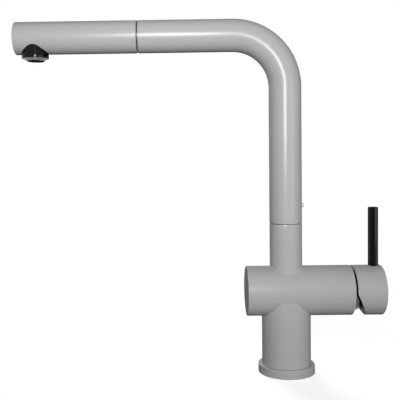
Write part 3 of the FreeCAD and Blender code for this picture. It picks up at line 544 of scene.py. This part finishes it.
def with_effect(name, effect, tint, bump, given, **values):
    """A material that a shared effect feeds. The effect takes the given inputs, and the surface shader's
    other sockets take the values."""
    material = new_material(name)
    tree = material.node_tree
    made = tree.nodes.new("ShaderNodeGroup")
    made.node_tree = effect()
    give(made, Color=(*tint, 1), **given)
    give(dress(tree, *made.outputs, bump), **values)
    return material


def lacquer(name, tint, cloudiness, roughness, gloss, stops):
    """Sprayed lacquer, satin below a thin clear coat. The coat's weight follows how far the surface turns
    from the eye, by stops (turned, weight)."""
    material = with_effect(name, spray_coat, tint, (0.05, 0.05 * MM),
                           {"Cloudiness": cloudiness, "Roughness": roughness},
                           Specular_IOR_Level=0.0, Coat_Roughness=gloss)
    tree = material.node_tree
    spread = add(tree, "ValToRGB", Fac=add(tree, "LayerWeight", Blend=0.3).outputs["Facing"])
    marks = spread.color_ramp.elements
    for _ in stops[2:]:
        marks.new(0.5)
    for mark, (turned_away, share) in zip(marks, stops):
        mark.position = turned_away
        mark.color = (share, share, share, 1)
    tree.links.new(spread.outputs["Color"], tree.nodes["Principled BSDF"].inputs["Coat Weight"])
    return material


def metal(name, tint, bump, roughness, drawn=(4000.0, 120.0, 120.0), specular=0.5):
    return with_effect(name, tool_marks, tint, bump, {"Roughness": roughness, "Stretch": drawn},
                       Metallic=1.0, Specular_IOR_Level=specular)


def moulded(name, tint, roughness, scale, bump, clear=0.0, specular=0.5):
    return with_effect(name, moulded_grain, tint, bump, {"Roughness": roughness, "Scale": scale},
                       Coat_Weight=clear, Coat_Roughness=0.1, Specular_IOR_Level=specular)


def hose_braid(name, tint):
    """Woven nylon sleeve: two crossing families of strands on the hose's own map, each strand rounded,
    one family over the other in turn, like a basket. The hollows between the strands are painted darker, as
    painted shade."""
    material = new_material(name)
    tree = material.node_tree
    split = add(tree, "SeparateXYZ", Vector=add(tree, "UVMap", uv_map="Braid").outputs["UV"]).outputs
    strands = []
    for operation in ("ADD", "SUBTRACT"):
        diagonal = maths(tree, operation, split["X"], split["Y"])
        strands.append(maths(tree, "SINE", maths(tree, "MULTIPLY", diagonal, TURN)))
    weave = maths(tree, "MAXIMUM", *strands)
    # painted shade: the hollows between the strands are painted at 0.35 of the braid's colour
    painted_hollow_shade = (*[0.35 * part for part in tint], 1)
    share = stretch(tree, weave, 0.0, 1.0)
    shade = add(tree, "Mix", data_type="RGBA", Factor=share, A=painted_hollow_shade, B=(*tint, 1)).outputs["Result"]
    dress(tree, shade, stretch(tree, weave, 0.75, 0.45), weave, (0.7, 0.3 * MM))
    return material


@functools.cache
def finish(look):
    """The material of a look, made when it is first asked for."""
    own = bpy.context.scene.tap_colours
    grain = (0.10, 0.05 * MM)
    polish = ((0.02, 0.02 * MM), 0.12, (500.0, 500.0, 3000.0), 0.0)
    soft_gloss = ((0.0, 0.6), (0.6, 0.0))
    edge_gloss = ((0.0, 0.1), (0.067, 0.15), (0.125, 0.9), (0.17, 0.9), (0.27, 0.4), (0.40, 0.0))
    looks = {
        GREY: (lacquer, own.lacquer, 0.012, 0.5, 0.25, soft_gloss),
        "black_lacquer": (lacquer, own.black, 0.05, 0.3, 0.08, edge_gloss),
        "dark_chrome": (metal, own.smoked_chrome, *polish),
        "outlet_chrome": (metal, own.outlet_chrome, *polish),
        # painted highlight: the bevel gets a lighter chrome than the outlet's wall, standing in for the
        # bevel's reflection
        "bevel_chrome": (metal, (0.14, 0.15, 0.17), *polish),
        "brass": (metal, own.brass, grain, 0.28),
        "stainless_steel": (metal, own.steel, (0.08, 0.04 * MM), 0.24),
        # painted shade: a black finish for the nozzle's inner lip and the aerator screen, standing in for
        # the shaded bore
        "outlet_mouth": (moulded, (0.018, 0.018, 0.019), 0.5, 1600.0, grain, 0.0, 0.1),
        "black_plastic": (moulded, (0.022, 0.022, 0.023), 0.42, 1600.0, grain, 0.15),
        "white_plastic": (moulded, (0.72, 0.72, 0.69), 0.38, 1400.0, (0.06, 0.04 * MM), 0.2),
        "alumina": (moulded, (0.82, 0.81, 0.77), 0.22, 2600.0, (0.03, 0.02 * MM), 0.4),
        "black_rubber": (moulded, (0.020, 0.020, 0.020), 0.68, 1100.0, (0.20, 0.08 * MM)),
        "grey_braid": (hose_braid, own.braid),
    }
    make, *values = looks[look]
    return make(look.replace("_", " "), *values)


class TapPiece:
    """What every operator of this tap shares."""
    bl_options = {"REGISTER", "UNDO"}


class TAP_OT_stepped_base(TapPiece, bpy.types.Operator):
    """Base ring: a low step, a soft upper rim and a groove for the deck seal below"""
    bl_idname = "tap.stepped_base"
    bl_label = "Base Ring"

    def execute(self, context):
        low, high = BASE
        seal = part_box("deck_seal")[1]
        narrow, wide, roof = 21.0 * MM, seal.x + GAP, seal.z
        bore = CASTING_SPIGOT + GAP
        corners = [
            (low.z, bore), (low.z, narrow), (roof, narrow), (roof, wide), (low.z, wide),
            (low.z, high.x, 0.3 * MM), (high.z, high.x, 0.9 * MM), (high.z, bore),
        ]
        piece("stepped_base", [turned(corners, COLUMN_AXIS, 256)], "tap_body", GREY, "base_ring")
        return {"FINISHED"}


class TAP_OT_casting(TapPiece, bpy.types.Operator):
    """Column, cross barrel and neck as one shell, with a hollow corner at the neck's foot"""
    bl_idname = "tap.casting"
    bl_label = "Body Casting"

    WINDOW = (27.0 * MM, 54, 96)

    # Place, radius and depth of the stud's hole; circle, spread, radius and depth of the water inlets
    STUD = (-13.0 * MM, 3.35 * MM, 14.0 * MM)
    INLETS = (12.6 * MM, math.radians(50), 4.45 * MM, 12.0 * MM)

    def execute(self, context):
        border, bearing, angles = window(*self.WINDOW, BARREL_RADIUS)
        patches = self.neck(border, bearing) + self.column(border, bearing) + self.barrel_ends(angles)
        piece("tap_casting", patches, "tap_body", GREY, "body_casting")
        return {"FINISHED"}

    def neck(self, border, bearing):
        """The foot is the surface that a ball rolling in the corner between neck and barrel touches: its
        centre stands one ball's radius out from both, and its arc runs between the two directions from
        there to the neck and to the barrel's axis."""
        ball, neck, barrel = sizes().neck_blend, TUBE_RADIUS, BARREL_RADIUS
        x, y = (neck + ball) * np.cos(bearing), (neck + ball) * np.sin(bearing)
        rise = np.sqrt((barrel + ball) ** 2 - y ** 2)
        centre = xyz(x, y, BARREL_Z + rise)
        to_neck = xyz(-np.cos(bearing), -np.sin(bearing), 0)
        to_barrel = xyz(0, -y, -rise) / (barrel + ball)
        sweep = np.arccos((to_neck * to_barrel).sum(axis=-1))[None, :, None]
        part = np.linspace(0, 1, 9)[:, None, None]
        arc = (np.sin((1 - part) * sweep) * to_barrel + np.sin(part * sweep) * to_neck) / np.sin(sweep)
        foot = centre + ball * arc
        top = CASTING[1].z
        collar = top - 2 * MM
        low, high = (circle_at(neck, bearing, 0, z) for z in (BARREL_Z + barrel + 2 * ball, collar))
        saddle = (x, np.arctan2(y, rise))
        bore = [
            (collar, neck), (top - 1.4 * MM, neck, 3 * MM), (top, neck - 0.25 * MM, 0.3 * MM),
            (top, NECK_BORE), (STEM_SEAT, NECK_BORE), (STEM_SEAT, HOSE_WAY), (CASTING[0].z, HOSE_WAY),
        ]
        return [
            patch(pierced(border, saddle, 0.0, barrel, BARREL_Z, 1, 26)),
            patch(foot),
            ruled(foot[-1], low, 4),
            ruled(low, high, 4),
            turned(bore, COLUMN_AXIS, bearing, closed=False),
        ]

    def column(self, border, bearing):
        """The wall rises to the barrel, or to a flat ledge where it stands further out than the barrel does
        at that height. The ledge's lip is an arc whose radius grows with the ledge's width."""
        radius, ledge, barrel = sizes().column_radius, sizes().column_top, BARREL_RADIUS
        half = math.sqrt(barrel ** 2 - (BARREL_Z - ledge) ** 2)
        x, y = radius * np.cos(bearing), radius * np.sin(bearing)
        met = np.clip(y, -half, half)
        height = BARREL_Z - np.sqrt(barrel ** 2 - met ** 2)
        lip = np.minimum(0.45 * MM, 0.6 * (np.abs(y) - np.abs(met)))
        angle = np.linspace(0, QUARTER, 9)[:, None]
        out = radius - lip + lip * np.cos(angle)
        rim = circle_at(out, bearing, 0, height - lip + lip * np.sin(angle))
        on_body = xyz(x, met, height)[None]
        step, knee = BASE[1].z, 40 * MM
        foot = [(knee, radius), (step, radius, 0.15 * MM), (step, CASTING_SPIGOT),
                (CASTING[0].z, CASTING_SPIGOT)]
        saddle = (x, np.arcsin(met / barrel))
        return [
            patch(pierced(border, saddle, 0.0, barrel, BARREL_Z, -1, 22)),
            patch(np.concatenate([rim, on_body])),
            ruled(rim[0], circle_at(radius, bearing, 0, knee), 8),
            turned(foot, COLUMN_AXIS, bearing, closed=False),
            *self.underside(bearing),
        ]

    def underside(self, bearing):
        """Flat underside with the hose's way, three water inlets and the hole for the fixing stud. Each hole
        goes on as a narrower pilot hole with a short cone at its end."""
        bottom = CASTING[0].z
        place, stud, stud_depth = self.STUD
        circle, spread, inlet, inlet_depth = self.INLETS
        holes = [(place, 0.0, stud, stud_depth)]
        for angle in (0, -spread, spread):
            holes.append((circle * math.cos(angle), circle * math.sin(angle), inlet, inlet_depth))
        turn = around(40)
        patches = []
        for x, y, radius, depth in holes:
            top, pilot = bottom + depth, 0.68 * radius
            corners = [(bottom, radius), (top, radius), (top, pilot), (top + 22 * MM, pilot),
                       (top + 23 * MM, 0)]
            patches.append(turned(corners, upright(x, y), turn, closed=False))
        rings = [circle_at(radius, bearing, 0, bottom) for radius in (CASTING_SPIGOT, HOSE_WAY)]
        rings += [circle_at(radius, turn, x, bottom, y) for x, y, radius, depth in holes]
        gaps = [hole[:3] for hole in holes] + [(0, 0, HOSE_WAY)]
        return patches + [flat_with_holes(rings, gaps, bottom)]

    def barrel_ends(self, angles):
        """The barrel beyond the two windows, with a pocket in its left end for the end disc and in its
        right end for the cartridge."""
        left, right = CASTING[0].x, CASTING[1].x
        reach, soft, barrel = self.WINDOW[0], sizes().soft_edge, BARREL_RADIUS
        seat, floor = left + DISC_RIM, left + 24 * MM
        wide, narrow = 21.0 * MM, DISC_SPIGOT + GAP
        free = [(-reach, barrel), (left, barrel, soft), (left, wide, 0.15 * MM), (seat, wide),
                (seat, narrow), (floor, narrow), (floor, 0)]
        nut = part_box("cartridge_nut")
        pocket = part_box("cartridge_base")
        wide, narrow = nut[1].y + GAP, pocket[1].y + 2 * GAP
        lever = [(reach, barrel), (right, barrel, soft), (right, wide), (nut[0].x, wide),
                 (nut[0].x, narrow), (pocket[0].x, narrow), (pocket[0].x, 0)]
        return [turned(corners, BARREL_AXIS, angles, closed=False) for corners in (free, lever)]


class TAP_OT_end_disc(TapPiece, bpy.types.Operator):
    """Disc that closes the barrel's free end, with its spigot and seal groove"""
    bl_idname = "tap.end_disc"
    bl_label = "End Disc"

    def execute(self, context):
        left, right = END_DISC[0].x, END_DISC[1].x
        wide, seat, painted_hollow_shade = END_DISC[1].y, left + DISC_RIM, DISC_SPIGOT - 3 * MM
        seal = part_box("end_cap_seal")
        near, far, floor = seal[0].x - GAP, seal[1].x + GAP, 17.4 * MM
        corners = [
            (left, 0), (left, wide, 0.2 * MM), (seat, wide), (seat, DISC_SPIGOT), (near, DISC_SPIGOT),
            (near, floor), (far, floor), (far, DISC_SPIGOT), (right, DISC_SPIGOT), (right, painted_hollow_shade),
            (seat, painted_hollow_shade), (seat, 0),
        ]
        line = turned(corners, BARREL_AXIS, 192, closed=False)
        piece("end_disc", [line], "tap_body", GREY, "barrel_end_cap")
        return {"FINISHED"}


class TAP_OT_spout(TapPiece, bpy.types.Operator):
    """Spout tube, carried round the bend, with the washer at its foot and the stop screw in its side"""
    bl_idname = "tap.spout"
    bl_label = "Spout"

    def execute(self, context):
        bend, outer, inner = sizes().bend_radius, TUBE_RADIUS, TUBE_RADIUS - sizes().tube_wall
        bottom, reach = TUBE[0].z, bent_length(TUBE[0].z, TUBE[0].x)
        marks = SPOUT_Z - bend - bottom + np.linspace(0, bend * QUARTER, 57)
        line = outline([(0, inner), (0, outer, 0.4 * MM), (reach, outer, 0.35 * MM), (reach, inner)])
        tube = swept(with_stations(line, marks), bent(bottom), 160)
        piece("bent_spout", [tube], "spout", GREY, "spout_tube")
        self.washer()
        self.screw()
        return {"FINISHED"}

    def washer(self):
        low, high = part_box("joint_washer")
        bore = 10.1 * MM
        corners = [(low.z, bore), (low.z, high.x, 0.15 * MM), (high.z, high.x, 0.15 * MM), (high.z, bore)]
        ring = turned(corners, COLUMN_AXIS, 160)
        piece("swivel_gasket", [ring], "tap_body", "black_plastic", "joint_washer")

    def screw(self):
        low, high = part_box("spout_grub_screw")
        radius, dog, shoulder = high.y, 1.4 * MM, low.x + 2.0 * MM
        shank = [(low.x, 0), (low.x, dog, 0.1 * MM), (shoulder, dog), (shoulder, radius, 0.1 * MM),
                 (high.x, radius, 0.25 * MM), (high.x, 1.25 * MM)]
        axis = level((low.z + high.z) / 2)
        socket_screw("stop_screw", shank, axis, -1, 0.95 * MM, "spout", "spout_grub_screw")


class TAP_OT_hose(TapPiece, bpy.types.Operator):
    """Pull-out hose inside column and spout"""
    bl_idname = "tap.hose"
    bl_label = "Pull-out Hose"

    WALL = 1.8 * MM
    STRANDS = 12

    def execute(self, context):
        low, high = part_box("pullout_hose")
        radius, bottom, tip = high.x, low.z, low.x
        bore, reach = radius - self.WALL, bent_length(bottom, tip)
        line = outline([(0, bore), (0, radius, 0.2 * MM), (reach, radius, 0.2 * MM), (reach, bore)])
        line = with_stations(line, np.linspace(0, reach, 190))
        thing = piece("braided_hose", [swept(line, bent(bottom), 48)], None, "grey_braid", "pullout_hose")
        start = Vector((-sizes().bend_radius, 0, SPOUT_Z))
        end = Vector((tip + 13 * MM, 0, SPOUT_Z))
        self.map_braid(thing.data, start.x, end.x, radius)
        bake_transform(thing)
        return {"FINISHED"}

    def map_braid(self, mesh, start, end, radius):
        """The braid's map: strands round the hose against the distance along it when it is pulled right
        out, because only then does it show."""
        def values_of(items, name, kind, width=1):
            found = np.zeros(len(items) * width, kind)
            items.foreach_get(name, found)
            return found
        x, y, z = values_of(mesh.vertices, "co", float, 3).reshape(-1, 3).T
        share = np.clip((start - x) / (start - end), 0, 1)
        along = z * (x > start) + np.maximum(start - x, 0) + sizes().pull * share ** 2 * (3 - 2 * share)
        corner = values_of(mesh.loops, "vertex_index", np.int32)
        turn = np.arctan2(y, z - SPOUT_Z)[corner] / TURN
        first = values_of(mesh.polygons, "loop_start", np.int32)
        first = np.repeat(turn[first], values_of(mesh.polygons, "loop_total", np.int32))
        turn = turn - np.round(turn - first)
        pitch = TURN * radius / self.STRANDS
        pairs = np.stack([turn * self.STRANDS, along[corner] / pitch], axis=1)
        mesh.uv_layers.new(name="Braid").data.foreach_set("uv", pairs.astype(np.float32).ravel())


class TAP_OT_pullout_end(TapPiece, bpy.types.Operator):
    """Pull-out end: docking ring, shell with the saddle hole below, end disc, outlet and aerator"""
    bl_idname = "tap.pullout_end"
    bl_label = "Pull-out End"

    WINDOW = (15.0 * MM, 40, 80)

    def execute(self, context):
        self.docking_ring()
        self.shell()
        self.end_disc()
        self.nozzle()
        self.aerator()
        return {"FINISHED"}

    def docking_ring(self):
        low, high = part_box("docking_collar")
        tip, bore, wide, chamfer = TUBE[0].x, 8.9 * MM, high.y, 1.5 * MM
        plug = TUBE_RADIUS - sizes().tube_wall - 0.02 * MM
        corners = [(low.x, bore + chamfer), (low.x, wide, 0.15 * MM), (tip, wide), (tip, plug),
                   (high.x, plug), (high.x, bore), (low.x + chamfer, bore)]
        ring = turned(corners, SPOUT_AXIS, 160)
        piece("docking_ring", [ring], "spout", "black_plastic", "docking_collar")

    def shell(self):
        """A tube with one hole let into its lower half, through the wall."""
        low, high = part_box("handset_shell")
        outer, inner = high.y, high.y - sizes().tube_wall
        border, bearing, angles = window(*self.WINDOW, outer)
        patches, rims = [], []
        for radius in (outer, inner):
            curve = drilled_curve(NOZZLE[1].y + GAP, bearing, radius)
            lower = pierced(border, curve, OUTLET_X, radius, SPOUT_Z, -1, 16)
            rims.append(lower[0])
            patches += [patch(lower), crown(*self.WINDOW, OUTLET_X, radius, SPOUT_Z)]
        patches.append(ruled(*rims, 3))
        reach = self.WINDOW[0]
        for start, tip, soft in ((OUTLET_X - reach, low.x, sizes().soft_edge),
                                 (OUTLET_X + reach, high.x, 0.35 * MM)):
            corners = [(start, outer), (tip, outer, soft), (tip, inner), (start, inner)]
            patches.append(turned(corners, SPOUT_AXIS, angles, closed=False))
        piece("pullout_shell", patches, "handset", GREY, "handset_shell")

    def end_disc(self):
        low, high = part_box("handset_end_cap")
        corners = [(low.x, 0), (low.x, high.y, 0.15 * MM), (high.x, high.y), (high.x, 0)]
        piece("pullout_end_disc", [turned(corners, SPOUT_AXIS, 160, closed=False)],
              "handset", GREY, "handset_end_cap")

    def nozzle(self):
        """A cup whose wall draws in a little upwards, with a bevel below painted lighter as a painted
        highlight, and a mouth painted black as painted shade.
        """
        low, high = NOZZLE
        radius, bore, way, opening, mouth = high.y, AERATOR[1].y + GAP, 5.0 * MM, 7.3 * MM, 8.3 * MM
        roof, seat, bevel = high.z - 3.5 * MM, low.z + 0.8 * MM, low.z + 1.5 * MM
        corners = [
            (low.z, opening, 0.12 * MM), (low.z, mouth, 0.1 * MM), (bevel, radius - 0.2 * MM, 0.2 * MM),
            (low.z + 3.0 * MM, radius, 8.0 * MM), (high.z, radius - 0.7 * MM), (high.z, way), (roof, way),
            (roof, bore), (seat, bore), (seat, opening),
        ]
        thing = piece("spray_nozzle", [turned(corners, OUTLET_AXIS, 160)], "handset", "dark_chrome",
                      "outlet_nozzle", look="outlet_chrome")
        # the bevel band is painted lighter as a painted highlight; the mouth inside it is painted black as
        # painted shade
        for look in ("bevel_chrome", "outlet_mouth"):
            thing.data.materials.append(finish(look))
        for face in thing.data.polygons:
            if face.center.z < bevel:
                out = math.hypot(face.center.x - OUTLET_X, face.center.y)
                face.material_index = 1 if out > mouth else 2

    def aerator(self):
        low, high = AERATOR
        radius, wall, ledge = high.y, 1.4 * MM, SCREEN[1].z
        inner, narrow = radius - wall, radius - 2 * wall
        corners = [(low.z, inner), (low.z, radius, 0.15 * MM), (high.z, radius), (high.z, narrow),
                   (ledge, narrow), (ledge, inner)]
        ring = turned(corners, OUTLET_AXIS, 128)
        piece("aerator_ring", [ring], "handset", "black_plastic", "aerator_housing")
        self.mesh()

    def mesh(self):
        """Disc with rings and spokes below: between them the face is let in by the let-in depth times the
        squared sine of the distance out over the rings' pitch, times one minus the eighth power of the
        cosine of half the spokes' number times the angle."""
        low, high = SCREEN
        radius, depth, rings, spokes = high.y, 0.5 * (high.z - low.z), 5, 16
        bearing = around(128)
        out = np.linspace(0, radius, 8 * rings + 1)[:, None]
        pocket = np.sin(out / radius * rings * math.pi) ** 2 * (1 - np.cos(bearing * spokes / 2) ** 8)
        below = circle_at(out, bearing, OUTLET_X, low.z + depth * pocket)
        top = np.stack([circle_at(edge, bearing, OUTLET_X, high.z) for edge in (radius, 0)])
        # painted shade: the white plastic screen gets the black mouth finish, so that the bore reads as dark
        piece("aerator_mesh", [patch(np.concatenate([below, top]))], "handset", "white_plastic",
              "aerator_screen", look="outlet_mouth")


class TAP_OT_lever(TapPiece, bpy.types.Operator):
    """Lever: domed ring on the barrel, hollow cap with its slanted lower edge, rod and screw"""
    bl_idname = "tap.lever"
    bl_label = "Lever"

    WINDOW = (5.1 * MM, 18, 80)

    def execute(self, context):
        self.domed_ring()
        self.cap()
        self.rod()
        self.screw()
        return {"FINISHED"}

    def domed_ring(self):
        """A flange, a short cylinder and a zone of a ball centred on the lever's pivot, with the same wall
        all over: on the ball the distance out is the ball's radius times the sine of the zone's angle."""
        low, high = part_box("trim_ring")
        pivot, ball, wall = sizes().pivot_reach, 19.5 * MM, 1.7 * MM
        ring, opening, flange = 18.2 * MM, 12.5 * MM, low.x + 2.6 * MM

        def zone(radius, start, end):
            angle = np.linspace(math.asin(start / radius), math.asin(end / radius), 20)
            return np.stack([pivot + radius * np.cos(angle), radius * np.sin(angle)], axis=1)
        outside, inside = zone(ball, ring, opening), zone(ball - wall, opening, ring - wall)
        foot = outline([(low.x, ring - wall), (low.x, high.y), (flange, high.y, 0.2 * MM),
                        (flange, ring, 0.2 * MM), tuple(outside[0])], closed=False)
        line = np.vstack([foot[:-1], outside, inside])
        piece("domed_ring", [swept(line, BARREL_AXIS, 160)], "tap_body", "dark_chrome", "trim_ring")

    def cap(self):
        """A round cup whose rim is cut square above the axis and slanted below it: below the axis the rim
        stands off by the depth below times the tangent of the slant."""
        back, front, radius = CAP[0].x, CAP[1].x, CAP[1].y
        inner, floor, edge = radius - 2.5 * MM, back + 14.0 * MM, 0.3 * MM
        reach, slope = self.WINDOW[0], math.tan(sizes().cut_angle)
        border, bearing, angles = window(*self.WINDOW, radius)

        def circle(out, x):
            return on_barrel(x, angles, out, BARREL_Z, 1)

        def rim(out, inset):
            return circle(out, back + inset + np.maximum(-out * np.cos(angles), 0) * slope)
        turn = np.linspace(0, QUARTER, 6)
        outer_edge = [rim(radius - edge + edge * math.cos(t), edge - edge * math.sin(t)) for t in turn]
        inner_edge = [rim(inner + edge - edge * math.cos(t), edge - edge * math.sin(t)) for t in turn[::-1]]
        lip = np.stack(outer_edge + inner_edge)
        shank = rim(radius, 2 * edge)
        nose = [(LEVER_X + reach, radius), (front, radius, 1.0 * MM), (front, 0)]
        patches = [
            ruled(circle(radius, LEVER_X - reach), shank, 8), ruled(shank, lip[0], 1), patch(lip),
            ruled(lip[-1], circle(inner, floor), 10), ruled(circle(inner, floor), circle(0, floor), 3),
            turned(nose, BARREL_AXIS, angles, closed=False),
        ]
        for up, hole, end in ((1, ROD[1].y + GAP, ROD_SEAT), (-1, 2.55 * MM, BARREL_Z - 3.6 * MM)):
            curve = drilled_curve(hole, bearing, radius)
            half = pierced(border, curve, LEVER_X, radius, BARREL_Z, up, 14)
            wall, middle = (circle_at(out, bearing, LEVER_X, end) for out in (hole, 0))
            patches += [patch(half), ruled(half[0], wall, 4), ruled(wall, middle, 2)]
        piece("lever_cap", patches, "handle", GREY, "handle_cap")

    def rod(self):
        low, high = ROD
        radius, thread = high.y, 2.5 * MM
        corners = [(low.z, 0), (low.z, thread), (ROD_SEAT, thread), (ROD_SEAT, radius, 0.15 * MM),
                   (high.z, radius, 0.8 * MM), (high.z, 0)]
        bar = turned(corners, ROD_AXIS, 96, closed=False)
        piece("lever_bar", [bar], "handle", "black_lacquer", "lever_rod")

    def screw(self):
        low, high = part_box("handle_grub_screw")
        radius = high.y
        shank = [(high.z, 0), (high.z, radius, 0.2 * MM), (low.z, radius, 0.25 * MM), (low.z, 1.5 * MM)]
        socket_screw("cap_screw", shank, ROD_AXIS, 1, 1.15 * MM, "handle", "handle_grub_screw")


class TAP_OT_inner_finishes(TapPiece, bpy.types.Operator):
    """Finishes of the inner pieces, whose shapes come with the frame"""
    bl_idname = "tap.inner_finishes"
    bl_label = "Inner Finishes"

    def execute(self, context):
        for row in frame["record"]["subparts"]:
            thing = frame["nodes"][row["node"]]
            thing.data.materials.clear()
            thing.data.materials.append(finish(row["material_slot"]))
        return {"FINISHED"}


class TAP_OT_studio(TapPiece, bpy.types.Operator):
    """Pale floor and background, soft boxes before, beside and behind the tap, and the camera"""
    bl_idname = "tap.studio"
    bl_label = "Studio"

    def execute(self, context):
        settings = context.scene.tap_studio
        context.scene.view_settings.view_transform = "Standard"
        self.floor(settings.floor_reach)
        self.sky(settings.fill)
        key, side, back = settings.key_power, settings.side_power, settings.back_power
        self.soft_box("key", (-0.115, -0.75, 0.335), (-0.13, 0.0, 0.275), (0.185, 0.24), key, 100)
        self.soft_box("side", (0.55, -0.60, 0.22), (0.08, 0.0, 0.10), (0.4, 0.4), side, 100)
        self.soft_box("back", (-0.22, 0.92, 0.40), (-0.08, 0.0, 0.15), (0.6, 0.5), back, 180)
        self.camera()
        return {"FINISHED"}

    def floor(self, reach):
        mesh = bpy.data.meshes.new("floor")
        corners = [(x * reach, y * reach, 0) for x, y in ((-1, -1), (1, -1), (1, 1), (-1, 1))]
        mesh.from_pydata(corners, [], [(0, 1, 2, 3)])
        thing = linked("floor", mesh)
        mesh.materials.append(self.floor_paint())

    def floor_paint(self):
        """White paint near the tap, which keeps its shadow, and an even white glow further out. To rays
        that only carry light the floor is dim."""
        near, far = 0.06, 0.35
        material = new_material("floor paint")
        tree = material.node_tree
        paint = tree.nodes["Principled BSDF"]
        give(paint, Base_Color=(0.85, 0.85, 0.85, 1), Roughness=0.9, Specular_IOR_Level=0.0)
        lift, white = (add(tree, "Emission", Strength=strength).outputs[0] for strength in (0.6, 1.0))
        place = add(tree, "TexCoord").outputs["Object"]
        away = add(tree, "VectorMath", operation="LENGTH", Vector=place).outputs["Value"]
        share = add(tree, "MapRange", interpolation_type="SMOOTHSTEP", Value=away,
                    From_Min=near, From_Max=far).outputs["Result"]
        lit = joined(tree, "AddShader", paint.outputs[0], lift)
        shown = joined(tree, "MixShader", share, lit, white)
        dim = add(tree, "BsdfDiffuse", Color=(0.1, 0.1, 0.1, 1)).outputs[0]
        final = joined(tree, "MixShader", seen(tree), dim, shown)
        tree.links.new(final, tree.nodes["Material Output"].inputs["Surface"])
        return material

    def sky(self, strength):
        world = bpy.data.worlds.new("studio")
        world.use_nodes = True
        bpy.context.scene.world = world
        tree = world.node_tree
        fill = tree.nodes["Background"]
        give(fill, Color=(1, 1, 1, 1), Strength=strength)
        white = add(tree, "Background", Color=(1, 1, 1, 1), Strength=1.0)
        mixed = joined(tree, "MixShader", seen(tree), fill.outputs[0], white.outputs[0])
        tree.links.new(mixed, tree.nodes["World Output"].inputs["Surface"])

    def soft_box(self, name, place, target, size, watts, spread):
        light = bpy.data.lights.new(name, "AREA")
        light.spread = math.radians(spread)
        light.shape = "RECTANGLE"
        light.size, light.size_y = size
        light.energy = watts
        thing = linked(name, light)
        thing.location = place
        thing.rotation_euler = (Vector(target) - Vector(place)).to_track_quat("-Z", "Y").to_euler()

    def camera(self):
        """Stands before the spout and looks along +Y, turned, dipped and rolled by a degree or two."""
        data = bpy.data.cameras.new("camera")
        data.lens = 55.64
        data.shift_x, data.shift_y = 0.05, -0.02
        thing = linked("camera", data)
        thing.location = (-88.3 * MM, -561.5 * MM, 187.2 * MM)
        turn, dip, roll = math.radians(0.75), math.radians(-2.24), math.radians(-0.72)
        thing.rotation_euler = (Matrix.Rotation(turn, 3, "Z") @ Matrix.Rotation(QUARTER + dip, 3, "X")
                                @ Matrix.Rotation(roll, 3, "Z")).to_euler()
        bpy.context.scene.camera = thing


def seen(tree):
    """One for rays from the camera and for what gloss and glass show, nought for the rest."""
    rays = add(tree, "LightPath").outputs
    both = maths(tree, "MAXIMUM", rays["Is Camera Ray"], rays["Is Glossy Ray"])
    return maths(tree, "MAXIMUM", both, rays["Is Transmission Ray"])


class TAP_PT_pieces(bpy.types.Panel):
    """Lists the tap's pieces and its settings"""
    bl_label = "Mixer Tap"
    bl_idname = "TAP_PT_pieces"
    bl_space_type = "VIEW_3D"
    bl_region_type = "UI"
    bl_category = "Mixer Tap"

    def draw(self, context):
        column = self.layout.column(align=True)
        for operator in OPERATORS:
            column.operator(operator.bl_idname)
        for setting, group in SETTINGS.items():
            box = self.layout.box()
            for name in group.__annotations__:
                box.prop(getattr(context.scene, setting), name)


OPERATORS = (
    TAP_OT_stepped_base, TAP_OT_casting, TAP_OT_end_disc, TAP_OT_spout, TAP_OT_hose, TAP_OT_pullout_end,
    TAP_OT_lever, TAP_OT_inner_finishes, TAP_OT_studio,
)
SETTINGS = {"tap_sizes": TapSizes, "tap_colours": TapColours, "tap_studio": StudioSettings}
CLASSES = (*SETTINGS.values(), *OPERATORS, TAP_PT_pieces)


def register():
    for cls in CLASSES:
        bpy.utils.register_class(cls)
    for name, group in SETTINGS.items():
        setattr(bpy.types.Scene, name, bpy.props.PointerProperty(type=group))


def unregister():
    for name in SETTINGS:
        delattr(bpy.types.Scene, name)
    for cls in reversed(CLASSES):
        bpy.utils.unregister_class(cls)


def main():
    """Dress the frame."""
    register()
    for operator in OPERATORS:
        group, name = operator.bl_idname.split(".")
        getattr(getattr(bpy.ops, group), name)()


if __name__ == "__main__":
    main()
